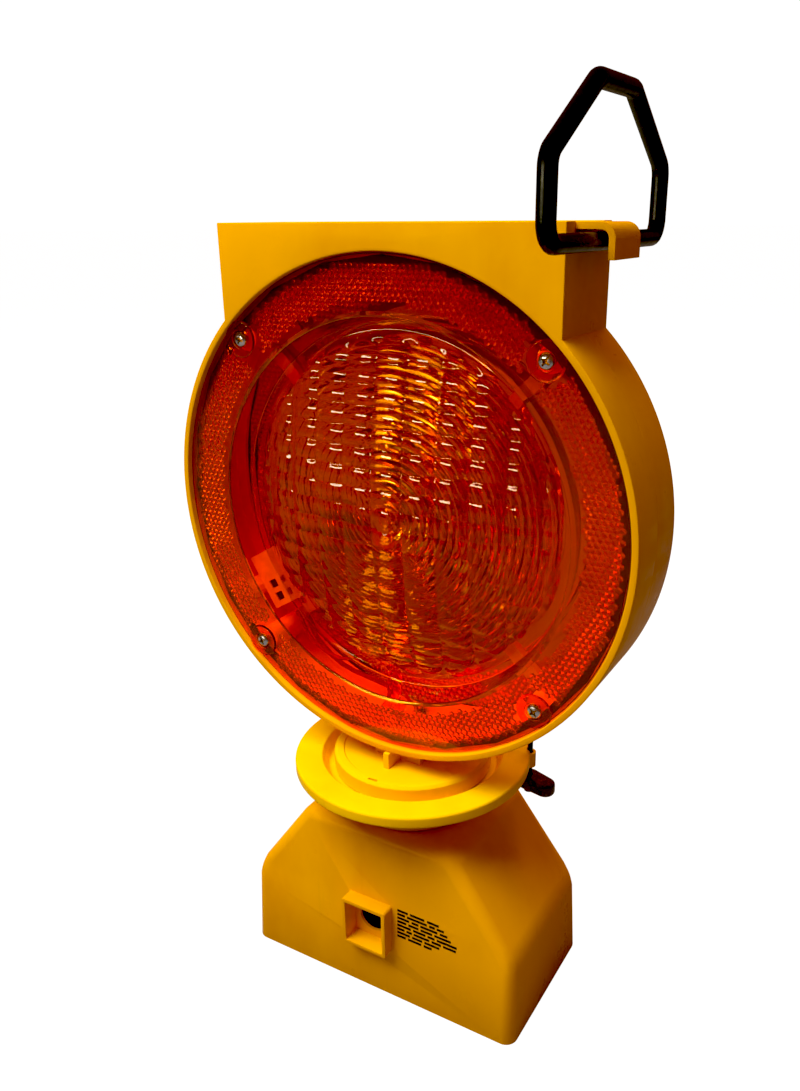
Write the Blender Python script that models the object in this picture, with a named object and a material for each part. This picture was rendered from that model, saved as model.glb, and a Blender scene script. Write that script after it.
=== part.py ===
"""Solar barricade warning light: an amber two-sided lens head that swivels on a battery base.

Metres, +Z up. The origin is on the ground under the swivel axis and the front faces -Y.
"""

import math

import bmesh
import bpy
from mathutils import Matrix, Vector

# ---- Fits -------------------------------------------------------------------
GAP = 0.0003
FIT = 0.0004

# ---- Base housing -----------------------------------------------------------
BASE_HALF_WIDTH = 0.0634
BASE_HALF_DEPTH = 0.0337
BASE_DRAFT = 0.041
SHOULDER_Z = 0.0376
BASE_TOP_Z = 0.0756
BASE_TOP_HALF_WIDTH = 0.0342
BASE_WALL = 0.0024
BASE_ROUND = 0.0050

# ---- Mounting bolt socket and tunnel through the base -----------------------
BOLT_X = -0.0020
BOLT_Z = 0.0330
BOLT_HOLE_RADIUS = 0.0063
TUNNEL_RADIUS = 0.0086
SOCKET_HALF_WIDTH = 0.0104
SOCKET_HALF_HEIGHT = 0.0110
SOCKET_STANDS_OUT = 0.0055
SOCKET_RECESS = 0.0075
SOCKET_WALL = 0.0016

# ---- Bottom cover, its seal and screws --------------------------------------
COVER_THICK = 0.0030
SEAL_WIDTH = 0.0030
SEAL_THICK = 0.0010
POST_X = 0.0520
POST_Y = 0.0220
POST_RADIUS = 0.0035

# ---- Batteries, their carriers and the control board ------------------------
CELL_RADIUS = 0.0131
CELL_LENGTH = 0.0500
CELL_X = 0.0290
CARRIER_HALF_WIDTH = 0.0133
CARRIER_FLOOR_Z = 0.0046
CARRIER_WALL = 0.0014
CARRIER_END_Y = 0.0284
CARRIER_TOP_Z = 0.0520
CONTACT_THICK = 0.0005
BOARD_Z = 0.0475
BOARD_HALF_WIDTH = 0.0150
BOARD_HALF_LENGTH = 0.0220
BOARD_THICK = 0.0016

# ---- Collar ring and swivel neck --------------------------------------------
COLLAR_TOP_Z = 0.0977
COLLAR_RADIUS = 0.0483
COLLAR_MOUTH_RADIUS = 0.0373
COLLAR_FLOOR_Z = 0.0925
SPIGOT_RADIUS = 0.0222
SPIGOT_BORE = 0.0180
SPIGOT_FOOT_Z = 0.0665
DISC_RADIUS = 0.0323
DISC_TOP_Z = 0.0994
WIRE_HOLE_RADIUS = 0.0045
NECK_SCREW_Y = 0.0085
PEDESTAL_HALF_WIDTH = 0.0105
PEDESTAL_HALF_DEPTH = 0.0120

# ---- Lamp head --------------------------------------------------------------
HEAD_Z = 0.2013
DRUM_RADIUS = 0.0950
DRUM_BORE = 0.0926
HEAD_HALF_DEPTH = 0.0192
HEAD_WALL = 0.0022
BOX_HALF_WIDTH = 0.0666
BOX_TOP_Z = 0.3028
LEDGE_RADIUS = 0.0880
LEDGE_FACE = 0.0137
LEDGE_THICK = 0.0020

# ---- Lenses, measured outwards from the drum's middle plane -----------------
LENS_RADIUS = 0.0922
LENS_RING_BACK = 0.0154
LENS_RING_FACE = 0.0176
LENS_STEP_RADIUS = 0.0717
DOME_RADIUS = 0.0665
DOME_FOOT = 0.0072
DOME_APEX = 0.0171
LENS_THICK = 0.0020
LENS_SCREW_OFFSET = 0.0610
COUNTERBORE_RADIUS = 0.0050
COUNTERBORE_DEPTH = 0.0010

# ---- Screws -----------------------------------------------------------------
SCREW_RADIUS = 0.0015
SCREW_HEAD_RADIUS = 0.0028
SCREW_HEAD_HEIGHT = 0.0017
SCREW_LENGTH = 0.0095

# ---- Top cover, solar panel and handle clip ---------------------------------
COVER_TOP_Z = 0.3025
COVER_PLATE = 0.0040
PANEL_HALF_WIDTH = 0.0560
PANEL_HALF_DEPTH = 0.0135
PANEL_THICK = 0.0012
WINDOW_THICK = 0.0008
CLIP_HALF_WIDTH = 0.0115
CLIP_THICK = 0.0020
CLIP_LEG_X = 0.0788
CLIP_FOOT_Z = 0.2918

# ---- Handle -----------------------------------------------------------------
HANDLE_X = 0.0724
HANDLE_Z = 0.2970
HANDLE_ROD = 0.0028
HANDLE_HALF_WIDTH = 0.0478
HANDLE_SIDE = 0.0222
HANDLE_RISE = 0.0430
HANDLE_TOP_HALF = 0.0150
HANDLE_BEND = 0.0060

# ---- Lock lever and its pin -------------------------------------------------
LEVER_X = 0.0425
LEVER_Y = 0.0234
LEVER_Z = 0.0824
LEVER_THICK = 0.0056
LEVER_HALF_WIDTH = 0.0042
LEVER_REACH = 0.0082
LEVER_ANGLE = math.radians(-15)
PIN_RADIUS = 0.0011
PIN_TOP_Z = 0.1055
PIN_FOOT_Z = 0.0780
PIN_HEAD_RADIUS = 0.0021
EAR_LOW_Z = 0.0900
EAR_RADIUS = 0.0024

# ---- Light source and switch ------------------------------------------------
LED_BOARD_HALF = 0.0110
LED_BOARD_THICK = 0.0012
LED_RADIUS = 0.0025
LED_SPACING = 0.0050
SWITCH_ANGLE = math.radians(211)
SWITCH_INNER = 0.0712
SWITCH_OUTER = 0.0812
SWITCH_HALF_LENGTH = 0.0120
SWITCH_HALF_DEPTH = 0.0048
NOSE_RADIUS = 0.0045
NOSE_END = 0.0962
BUTTON_RADIUS = 0.0029
BUTTON_START = 0.0845
BUTTON_END = 0.0995

# ---- Mesh fineness ----------------------------------------------------------
ROUND_SIDES = 40
LENS_SIDES = 44
DRUM_SIDES = 60
RING_SIDES = 24
SMALL_SIDES = 12
HOLE_SIDES = 10
DOME_STEPS = 4


# ---- Materials --------------------------------------------------------------
def material(name, colour, roughness, metallic=0.0, transmission=0.0):
    made = bpy.data.materials.new(name)
    made.use_nodes = True
    shader = made.node_tree.nodes["Principled BSDF"]
    shader.inputs["Base Color"].default_value = (*colour, 1.0)
    shader.inputs["Roughness"].default_value = roughness
    shader.inputs["Metallic"].default_value = metallic
    shader.inputs["Transmission Weight"].default_value = transmission
    made.diffuse_color = (*colour, 1.0)
    return made


# ---- Making objects ---------------------------------------------------------
def place(name, bm, finish, pivot=None, at=(0, 0, 0), angle=0.0):
    """Turns world-space geometry into an object whose origin is at `at`, turned about Y."""
    turn = Matrix.Rotation(angle, 4, "Y")
    bmesh.ops.transform(bm, matrix=turn.inverted() @ Matrix.Translation(-Vector(at)), verts=bm.verts)
    bmesh.ops.recalc_face_normals(bm, faces=bm.faces)
    mesh = bpy.data.meshes.new(name)
    bm.to_mesh(mesh)
    bm.free()
    mesh.shade_smooth()
    mesh.set_sharp_from_angle(angle=math.radians(35))
    obj = bpy.data.objects.new(name, mesh)
    if finish is not None:
        mesh.materials.append(finish)
    bpy.context.scene.collection.objects.link(obj)
    obj.rotation_euler = (0, angle, 0)
    obj.location = at
    if pivot is not None:
        obj.parent = pivot
        obj.location = Vector(at) - pivot.location
    return obj


def pivot_empty(name, at):
    empty = bpy.data.objects.new(name, None)
    empty.location = at
    empty.empty_display_size = 0.01
    bpy.context.scene.collection.objects.link(empty)
    return empty


def boolean(obj, bm, operation):
    """Cuts world-space geometry from an object, or joins it on."""
    order = len(obj.modifiers) + 1
    helper = place(f"{obj.name}_{operation.lower()}_{order}", bm, None)
    helper.hide_render = True
    helper.display_type = "WIRE"
    modifier = obj.modifiers.new(helper.name, "BOOLEAN")
    modifier.operation = operation
    modifier.object = helper


def cut(obj, bm):
    boolean(obj, bm, "DIFFERENCE")


def join(obj, bm):
    boolean(obj, bm, "UNION")


def soften(obj, width, segments=1, angle=math.radians(40)):
    bevel = obj.modifiers.new("edges", "BEVEL")
    bevel.width = width
    bevel.segments = segments
    bevel.limit_method = "ANGLE"
    bevel.angle_limit = angle


# ---- Shapes, all in world space ---------------------------------------------
def block(low, high):
    bm = bmesh.new()
    bmesh.ops.create_cube(bm, size=1.0)
    size = Vector(high) - Vector(low)
    middle = (Vector(high) + Vector(low)) / 2
    bmesh.ops.transform(bm, matrix=Matrix.Translation(middle) @ Matrix.Diagonal((*size, 1.0)), verts=bm.verts)
    return bm


def rod(start, end, radius, sides=SMALL_SIDES):
    bm = bmesh.new()
    start, end = Vector(start), Vector(end)
    bmesh.ops.create_cone(
        bm, cap_ends=True, segments=sides, radius1=radius, radius2=radius, depth=(end - start).length
    )
    turn = Vector((0, 0, 1)).rotation_difference(end - start).to_matrix().to_4x4()
    bmesh.ops.transform(bm, matrix=Matrix.Translation((start + end) / 2) @ turn, verts=bm.verts)
    return bm


def prism(outline, low, high, axis="Y"):
    """Extrudes a flat outline: (x, z) points along Y, or (x, y) points along Z."""
    bm = bmesh.new()

    def point(u, v, w):
        return (u, w, v) if axis == "Y" else (u, v, w)

    first = [bm.verts.new(point(u, v, low)) for u, v in outline]
    last = [bm.verts.new(point(u, v, high)) for u, v in outline]
    bm.faces.new(first)
    bm.faces.new(reversed(last))
    for i in range(len(outline)):
        j = (i + 1) % len(outline)
        bm.faces.new((first[i], last[i], last[j], first[j]))
    return bm


def turned(profile, centre=(0, 0, 0), axis="Z", sides=ROUND_SIDES, sweep=math.tau):
    """Turns a closed profile of (radius, height) points about an axis through the centre."""
    bm = bmesh.new()
    whole = sweep >= math.tau - 1e-6
    steps = sides if whole else sides + 1
    rings = []
    for radius, height in profile:
        ring = []
        for i in range(steps):
            if radius == 0 and ring:
                ring.append(ring[0])
                continue
            a = sweep * i / sides
            u, v = radius * math.cos(a), radius * math.sin(a)
            offset = Vector((u, v, height)) if axis == "Z" else Vector((u, -height, v))
            ring.append(bm.verts.new(Vector(centre) + offset))
        rings.append(ring)
    for k, ring in enumerate(rings):
        above = rings[(k + 1) % len(rings)]
        for i in range(sides):
            j = (i + 1) % steps
            corners = list(dict.fromkeys((ring[i], ring[j], above[j], above[i])))
            if len(corners) > 2:
                bm.faces.new(corners)
    if not whole:
        bm.faces.new([ring[0] for ring in rings])
        bm.faces.new([ring[-1] for ring in reversed(rings)])
    return bm


def arc(centre, radius, start, end, steps):
    """Points along a circular arc, angles in radians."""
    angles = [start + (end - start) * i / steps for i in range(steps + 1)]
    return [(centre[0] + radius * math.cos(a), centre[1] + radius * math.sin(a)) for a in angles]


def rounded_rectangle(half_width, half_depth, radius, steps=3):
    """A flat outline with rounded corners."""
    outline = []
    for quarter, (sx, sy) in enumerate(((1, 1), (-1, 1), (-1, -1), (1, -1))):
        centre = (sx * (half_width - radius), sy * (half_depth - radius))
        outline += arc(centre, radius, quarter * math.pi / 2, (quarter + 1) * math.pi / 2, steps)
    return outline


def rounded_corner(before, corner, after, radius, steps=4):
    """Points of a fillet between two straight runs that meet at a corner."""
    corner = Vector(corner)
    one = (Vector(before) - corner).normalized()
    two = (Vector(after) - corner).normalized()
    half = one.angle(two) / 2
    middle = corner + (one + two).normalized() * (radius / math.sin(half))
    start = corner + one * (radius / math.tan(half)) - middle
    end = corner + two * (radius / math.tan(half)) - middle
    return [middle + radius * start.slerp(end, i / steps).normalized() for i in range(steps + 1)]


def smooth_route(points, per_span=3):
    """A Catmull-Rom curve through hand-placed points."""
    ends = [2 * points[0] - points[1], *points, 2 * points[-1] - points[-2]]
    route = []
    for i in range(1, len(ends) - 2):
        a, b, c, d = ends[i - 1], ends[i], ends[i + 1], ends[i + 2]
        for k in range(per_span):
            t = k / per_span
            bend = (2 * a - 5 * b + 4 * c - d) * t**2
            twist = (3 * b - a - 3 * c + d) * t**3
            route.append(0.5 * (2 * b + (c - a) * t + bend + twist))
    return [*route, points[-1]]


def tube(name, points, radius, finish, pivot=None, at=(0, 0, 0), closed=False, resolution=2):
    """A round rod or wire that follows world-space points."""
    curve = bpy.data.curves.new(name, "CURVE")
    curve.dimensions = "3D"
    curve.bevel_depth = radius
    curve.bevel_resolution = resolution
    curve.use_fill_caps = not closed
    spline = curve.splines.new("POLY")
    spline.points.add(len(points) - 1)
    spline.use_cyclic_u = closed
    for slot, point in zip(spline.points, points):
        slot.co = (*(Vector(point) - Vector(at)), 1.0)
    curve.materials.append(finish)
    obj = bpy.data.objects.new(name, curve)
    bpy.context.scene.collection.objects.link(obj)
    obj.location = at
    if pivot is not None:
        obj.parent = pivot
        obj.location = Vector(at) - pivot.location
    return obj


# ---- Screws -----------------------------------------------------------------
def together(first, second):
    """Both shapes in one mesh: they must stand clear of each other."""
    copy = {vert: first.verts.new(vert.co) for vert in second.verts}
    for face in second.faces:
        first.faces.new([copy[vert] for vert in face.verts])
    second.free()
    return first


def screw(name, seat, direction, finish, pivot=None, length=SCREW_LENGTH):
    """A pan-head screw whose head rests at `seat` and whose shank points along `direction`."""
    profile = [
        (0, SCREW_HEAD_HEIGHT),
        (0.6 * SCREW_HEAD_RADIUS, 0.95 * SCREW_HEAD_HEIGHT),
        (SCREW_HEAD_RADIUS, 0.55 * SCREW_HEAD_HEIGHT),
        (SCREW_HEAD_RADIUS, 0),
        (SCREW_RADIUS, 0),
        (SCREW_RADIUS, -length + 0.0015),
        (0, -length),
    ]
    bm = turned(profile, sides=SMALL_SIDES)
    turn = Vector((0, 0, -1)).rotation_difference(Vector(direction)).to_matrix().to_4x4()
    bmesh.ops.transform(bm, matrix=Matrix.Translation(seat) @ turn, verts=bm.verts)
    return place(name, bm, finish, pivot, seat)


# ---- Base -------------------------------------------------------------------
def base_depth(z):
    return BASE_HALF_DEPTH - BASE_DRAFT * z


def base_width(z):
    return BASE_HALF_WIDTH - BASE_DRAFT * z


def shoulder_height(x):
    """The height of the sloping shoulder's outer face at a distance x from the middle."""
    slope = (BASE_TOP_Z - SHOULDER_Z) / (base_width(SHOULDER_Z) - BASE_TOP_HALF_WIDTH)
    return SHOULDER_Z + (base_width(SHOULDER_Z) - x) * slope


def base_form(inset, foot_z):
    """The base's house shape with drafted sides, moved inwards by the inset."""
    bm = bmesh.new()
    top_z = BASE_TOP_Z - inset
    shoulder_z = SHOULDER_Z - 0.3 * inset
    levels = (
        (foot_z, base_width(foot_z) - inset),
        (shoulder_z, base_width(shoulder_z) - inset),
        (top_z, BASE_TOP_HALF_WIDTH - 0.55 * inset),
    )
    rings = []
    for z, width in levels:
        depth = base_depth(z) - inset
        corners = ((-width, -depth), (width, -depth), (width, depth), (-width, depth))
        rings.append([bm.verts.new((x, y, z)) for x, y in corners])
    for low, high in zip(rings, rings[1:]):
        for i in range(4):
            bm.faces.new((low[i], low[(i + 1) % 4], high[(i + 1) % 4], high[i]))
    bm.faces.new(reversed(rings[0]))
    bm.faces.new(rings[-1])
    edges = [e for e in bm.edges if max(v.co.z for v in e.verts) > foot_z + 1e-6]
    radius = BASE_ROUND - inset
    segments = 3 if inset == 0 else 1
    bmesh.ops.bevel(bm, geom=edges, offset=radius, segments=segments, profile=0.5, affect="EDGES")
    return bm


def base_housing(finish):
    housing = place("base_housing", base_form(0, 0), finish)
    cut(housing, base_form(BASE_WALL, -0.01))
    front = -base_depth(BOLT_Z)
    face = front - SOCKET_STANDS_OUT
    socket_x, socket_z = SOCKET_HALF_WIDTH, SOCKET_HALF_HEIGHT
    floor = face + SOCKET_RECESS
    left, right = BOLT_X - socket_x, BOLT_X + socket_x
    tunnel = rod((BOLT_X, face + 0.004, BOLT_Z), (BOLT_X, -front - 0.001, BOLT_Z), TUNNEL_RADIUS, 24)
    join(housing, tunnel)
    join(housing, block((left, face, BOLT_Z - socket_z), (right, floor + 0.002, BOLT_Z + socket_z)))
    post_top = shoulder_height(POST_X + POST_RADIUS) - 0.0008
    for x in (-POST_X, POST_X):
        for y in (-POST_Y, POST_Y):
            join(housing, rod((x, y, COVER_THICK + GAP), (x, y, post_top), POST_RADIUS))
    for y in (-0.014, 0.014):
        join(housing, rod((BOLT_X, y, BOLT_Z + 0.006), (BOLT_X, y, BOARD_Z - GAP), 0.0025))
    cut(housing, rod((BOLT_X, face - 0.01, BOLT_Z), (BOLT_X, -face + 0.01, BOLT_Z), BOLT_HOLE_RADIUS, 24))
    left, right = left + SOCKET_WALL, right - SOCKET_WALL
    inner_z = socket_z - SOCKET_WALL
    cut(housing, block((left, face - 0.01, BOLT_Z - inner_z), (right, floor, BOLT_Z + inner_z)))
    cut(housing, rod((0, 0, BASE_TOP_Z - 0.01), (0, 0, BASE_TOP_Z + 0.01), SPIGOT_RADIUS + FIT, ROUND_SIDES))
    for x in (-POST_X, POST_X):
        for y in (-POST_Y, POST_Y):
            cut(housing, rod((x, y, -0.001), (x, y, 0.014), SCREW_RADIUS + FIT))
    return housing


def bottom_cover(cover_finish, seal_finish, screw_finish):
    half_width = base_width(0) - BASE_WALL - FIT
    half_depth = base_depth(0) - BASE_WALL - FIT
    rim = rounded_rectangle(half_width, half_depth, BASE_ROUND)
    cover = place("base_cover", prism(rim, 0, COVER_THICK, "Z"), cover_finish)
    seal_low = COVER_THICK + GAP
    seal = place("cover_seal", prism(rim, seal_low, seal_low + SEAL_THICK, "Z"), seal_finish)
    inner_x, inner_y = half_width - SEAL_WIDTH, half_depth - SEAL_WIDTH
    cut(seal, block((-inner_x, -inner_y, 0), (inner_x, inner_y, 0.01)))
    seat = COVER_THICK - 0.0008
    number = 0
    for x in (-POST_X, POST_X):
        for y in (-POST_Y, POST_Y):
            number += 1
            cut(cover, rod((x, y, -0.001), (x, y, 0.01), SCREW_RADIUS + FIT))
            cut(cover, rod((x, y, -0.001), (x, y, seat), SCREW_HEAD_RADIUS + FIT))
            screw(f"cover_screw_{number}", (x, y, seat - GAP), (0, 0, 1), screw_finish, length=0.0090)


def battery_cell(name, x, z, flip, finish):
    """A C-size cell lying along Y, its positive cap at one end."""
    half = CELL_LENGTH / 2
    profile = [
        (0, half),
        (0.0032, half),
        (0.0032, half - 0.0014),
        (CELL_RADIUS - 0.0008, half - 0.0014),
        (CELL_RADIUS, half - 0.0022),
        (CELL_RADIUS, 0.0008 - half),
        (CELL_RADIUS - 0.0008, -half),
        (0, -half),
    ]
    bm = turned(profile, axis="Y", sides=SMALL_SIDES + 4)
    turn = Matrix.Rotation(math.pi if flip else 0, 4, "Z")
    bmesh.ops.transform(bm, matrix=Matrix.Translation((x, 0, z)) @ turn, verts=bm.verts)
    place(name, bm, finish, at=(x, 0, z))


def power_pack(finishes):
    low_z = CARRIER_FLOOR_Z + CARRIER_WALL + GAP + CELL_RADIUS
    high_z = low_z + 2 * CELL_RADIUS + GAP
    number = 0
    for side, x in (("left", -CELL_X), ("right", CELL_X)):
        left, right = x - CARRIER_HALF_WIDTH, x + CARRIER_HALF_WIDTH
        floor = block((left, -CARRIER_END_Y, CARRIER_FLOOR_Z), (right, CARRIER_END_Y, CARRIER_TOP_Z))
        carrier = place(f"battery_carrier_{side}", floor, finishes["carrier"])
        inner_y = CARRIER_END_Y - CARRIER_WALL
        tray_floor = CARRIER_FLOOR_Z + CARRIER_WALL
        cut(carrier, block((left - 0.01, -inner_y, tray_floor), (right + 0.01, inner_y, 0.1)))
        for z, flip in ((low_z, side == "left"), (high_z, side == "right")):
            number += 1
            battery_cell(f"battery_cell_{number}", x, z, flip, finishes["cell"])
        for end, sign in (("front", -1), ("rear", 1)):
            near = sign * (inner_y - GAP)
            far = sign * (inner_y - GAP - CONTACT_THICK)
            plate = block(
                (x - 0.0080, min(near, far), low_z - 0.0070),
                (x + 0.0080, max(near, far), high_z + 0.0030),
            )
            place(f"battery_contact_{side}_{end}", plate, finishes["contact"])


def control_board(finishes):
    top = BOARD_Z + BOARD_THICK
    wide, long = BOARD_HALF_WIDTH, BOARD_HALF_LENGTH
    board = block((-wide, -long, BOARD_Z), (wide, long, top))
    place("control_board", board, finishes["board"])
    chip = block((-0.006, -0.008, top + GAP), (0.005, -0.001, top + GAP + 0.0016))
    place("control_chip", chip, finishes["chip"])
    capacitor = rod((0.004, 0.012, top + GAP), (0.004, 0.012, top + 0.0088), 0.0042)
    place("storage_capacitor", capacitor, finishes["capacitor"])


def collar_ring(finish):
    profile = [
        (SPIGOT_RADIUS + FIT, BASE_TOP_Z + GAP),
        (0.0265, BASE_TOP_Z + GAP),
        (0.0280, 0.0835),
        (0.0335, 0.0880),
        (0.0440, 0.0917),
        (COLLAR_RADIUS - 0.0010, 0.0928),
        (COLLAR_RADIUS, 0.0938),
        (COLLAR_RADIUS, COLLAR_TOP_Z - 0.0008),
        (COLLAR_RADIUS - 0.0008, COLLAR_TOP_Z),
        (COLLAR_MOUTH_RADIUS, COLLAR_TOP_Z),
        (COLLAR_MOUTH_RADIUS - 0.0025, COLLAR_FLOOR_Z),
        (SPIGOT_RADIUS + FIT, COLLAR_FLOOR_Z),
    ]
    collar = place("collar_ring", turned(profile), finish)
    join(collar, rod((LEVER_X, LEVER_Y, EAR_LOW_Z), (LEVER_X, LEVER_Y, COLLAR_TOP_Z - 0.0012), EAR_RADIUS))
    cut(collar, rod((LEVER_X, LEVER_Y, 0.08), (LEVER_X, LEVER_Y, 0.11), PIN_RADIUS + FIT))


def lock_pin(finish):
    low, high = (LEVER_X, LEVER_Y, PIN_FOOT_Z), (LEVER_X, LEVER_Y, PIN_TOP_Z)
    pin = place("lock_pin", rod(low, high, PIN_RADIUS), finish)
    join(pin, rod(low, (LEVER_X, LEVER_Y, PIN_FOOT_Z + 0.0010), PIN_HEAD_RADIUS))


def lock_lever(finish, pivot):
    tip = LEVER_REACH
    half = LEVER_HALF_WIDTH
    outline = arc((0, 0), half + 0.0006, math.radians(90), math.radians(270), 8)
    outline += arc((tip, 0), half, math.radians(-90), math.radians(90), 8)
    bm = prism(outline, -LEVER_THICK / 2, LEVER_THICK / 2, axis="Z")
    place_at = Matrix.Translation((LEVER_X, LEVER_Y, LEVER_Z + 0.0006)) @ Matrix.Rotation(LEVER_ANGLE, 4, "Z")
    bmesh.ops.transform(bm, matrix=place_at, verts=bm.verts)
    lever = place("lock_lever", bm, finish, pivot, (LEVER_X, LEVER_Y, LEVER_Z))
    soften(lever, 0.0009, 2)
    cut(lever, rod((LEVER_X, LEVER_Y, 0.07), (LEVER_X, LEVER_Y, 0.10), PIN_RADIUS + FIT))


# ---- Swivel neck ------------------------------------------------------------
GROOVE_TOP_Z = BASE_TOP_Z - BASE_WALL - 0.0010
GROOVE_DEPTH = 0.0019
CLIP_RING = 0.0020


def head_neck(finish, pivot):
    spigot = SPIGOT_RADIUS
    rim = DISC_TOP_Z - 0.0006
    low = GROOVE_TOP_Z - CLIP_RING - 2 * GAP
    profile = [
        (0, DISC_TOP_Z),
        (DISC_RADIUS - 0.0042, DISC_TOP_Z),
        (DISC_RADIUS - 0.0038, DISC_TOP_Z + 0.0005),
        (DISC_RADIUS - 0.0012, DISC_TOP_Z + 0.0005),
        (DISC_RADIUS, rim),
        (DISC_RADIUS, COLLAR_FLOOR_Z + 0.0006),
        (spigot, COLLAR_FLOOR_Z + 0.0006),
        (spigot, GROOVE_TOP_Z),
        (spigot - GROOVE_DEPTH, GROOVE_TOP_Z),
        (spigot - GROOVE_DEPTH, low),
        (spigot, low),
        (spigot, SPIGOT_FOOT_Z),
        (SPIGOT_BORE, SPIGOT_FOOT_Z),
        (SPIGOT_BORE, DISC_TOP_Z - 0.0030),
        (0, DISC_TOP_Z - 0.0030),
    ]
    neck = place("head_neck", turned(profile), finish, pivot)
    wide, deep = PEDESTAL_HALF_WIDTH, PEDESTAL_HALF_DEPTH
    join(neck, block((-wide, -deep, DISC_TOP_Z - 0.001), (wide, deep, 0.1130)))
    join(neck, block((-0.0012, -0.0206, DISC_TOP_Z - 0.001), (0.0012, 0.0206, 0.1100)))
    cut(neck, rod((0, -0.03, HEAD_Z), (0, 0.03, HEAD_Z), DRUM_RADIUS + GAP, DRUM_SIDES))
    cut(neck, rod((0, 0, 0.09), (0, 0, 0.12), WIRE_HOLE_RADIUS))
    for y in (-NECK_SCREW_Y, NECK_SCREW_Y):
        cut(neck, rod((0, y, 0.0990), (0, y, 0.12), SCREW_RADIUS + FIT, HOLE_SIDES))


def swivel_fasteners(washer_finish, clip_finish, pivot):
    washer_top = BASE_TOP_Z - BASE_WALL - GAP
    inner, outer = SPIGOT_RADIUS + FIT, 0.0252
    low = washer_top - 0.0005
    washer = [(inner, washer_top), (outer, washer_top), (outer, low), (inner, low)]
    place("swivel_washer", turned(washer, sides=RING_SIDES), washer_finish)
    top = GROOVE_TOP_Z - GAP
    inner, outer = SPIGOT_RADIUS - GROOVE_DEPTH + FIT, 0.0250
    clip = [(inner, top), (outer, top), (outer, top - CLIP_RING), (inner, top - CLIP_RING)]
    place("swivel_clip", turned(clip, sides=RING_SIDES, sweep=math.radians(320)), clip_finish, pivot)


# ---- Lamp head --------------------------------------------------------------
def above_drum(half_width, radius, top_z, steps=24):
    """The region of a square box above a drum of this radius: (x, z) points."""
    edge = math.acos(half_width / radius)
    arch = arc((0, HEAD_Z), radius, edge, math.pi - edge, steps)
    return [*arch, (-half_width, top_z), (half_width, top_z)]


def drum_profile():
    """The drum wall with a lens ledge inside each face: (radius, y) points."""
    face, edge = HEAD_HALF_DEPTH, 0.0008
    half = [
        (DRUM_RADIUS, face - edge),
        (DRUM_RADIUS - edge, face),
        (DRUM_BORE, face),
        (DRUM_BORE, LEDGE_FACE),
        (LEDGE_RADIUS, LEDGE_FACE),
        (LEDGE_RADIUS, LEDGE_FACE - LEDGE_THICK),
        (DRUM_BORE, LEDGE_FACE - LEDGE_THICK),
    ]
    return [*half, *[(radius, -y) for radius, y in reversed(half)]]


def boss_outline(corner_angle):
    """A screw boss with a web to the drum wall: (x, z) points."""
    distance = LENS_SCREW_OFFSET * math.sqrt(2)
    local = arc((distance, 0), 0.0045, math.radians(90), math.radians(270), 8)
    local += [(DRUM_BORE + 0.0012, -0.0045), (DRUM_BORE + 0.0012, 0.0045)]
    c, s = math.cos(corner_angle), math.sin(corner_angle)
    return [(c * u - s * v, HEAD_Z + s * u + c * v) for u, v in local]


def head_shell(finish, pivot):
    depth = HEAD_HALF_DEPTH - 0.0002
    mid_wall = (DRUM_RADIUS + DRUM_BORE) / 2
    box = prism(above_drum(BOX_HALF_WIDTH, mid_wall, BOX_TOP_Z), -depth, depth)
    shell = place("head_shell", box, finish, pivot)
    soften(shell, 0.0008)
    pocket = above_drum(BOX_HALF_WIDTH - HEAD_WALL, DRUM_RADIUS - 0.0005, BOX_TOP_Z + 0.01)
    cut(shell, prism(pocket, HEAD_WALL - depth, depth - HEAD_WALL))
    join(shell, turned(drum_profile(), (0, 0, HEAD_Z), "Y", DRUM_SIDES))
    end = LEDGE_FACE - 0.0002
    for quarter in range(4):
        angle = math.radians(45 + 90 * quarter)
        join(shell, prism(boss_outline(angle), -end, end))
        x = LENS_SCREW_OFFSET * math.sqrt(2) * math.cos(angle)
        z = HEAD_Z + LENS_SCREW_OFFSET * math.sqrt(2) * math.sin(angle)
        cut(shell, rod((x, -0.02, z), (x, 0.02, z), SCREW_RADIUS + FIT))
    notch = CLIP_HALF_WIDTH + FIT
    cut(shell, block((0.060, -notch, COVER_TOP_Z - COVER_PLATE), (0.070, notch, 0.31)))
    holes = rod((0, 0, 0.10), (0, 0, 0.12), WIRE_HOLE_RADIUS)
    for y in (-NECK_SCREW_Y, NECK_SCREW_Y):
        holes = together(holes, rod((0, y, 0.10), (0, y, 0.12), SCREW_RADIUS + FIT, HOLE_SIDES))
    cut(shell, holes)
    outward = Vector((math.cos(SWITCH_ANGLE), 0, math.sin(SWITCH_ANGLE)))
    middle = Vector((0, 0, HEAD_Z))
    cut(shell, rod(middle + 0.085 * outward, middle + 0.105 * outward, NOSE_RADIUS + FIT))
    return shell


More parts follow.
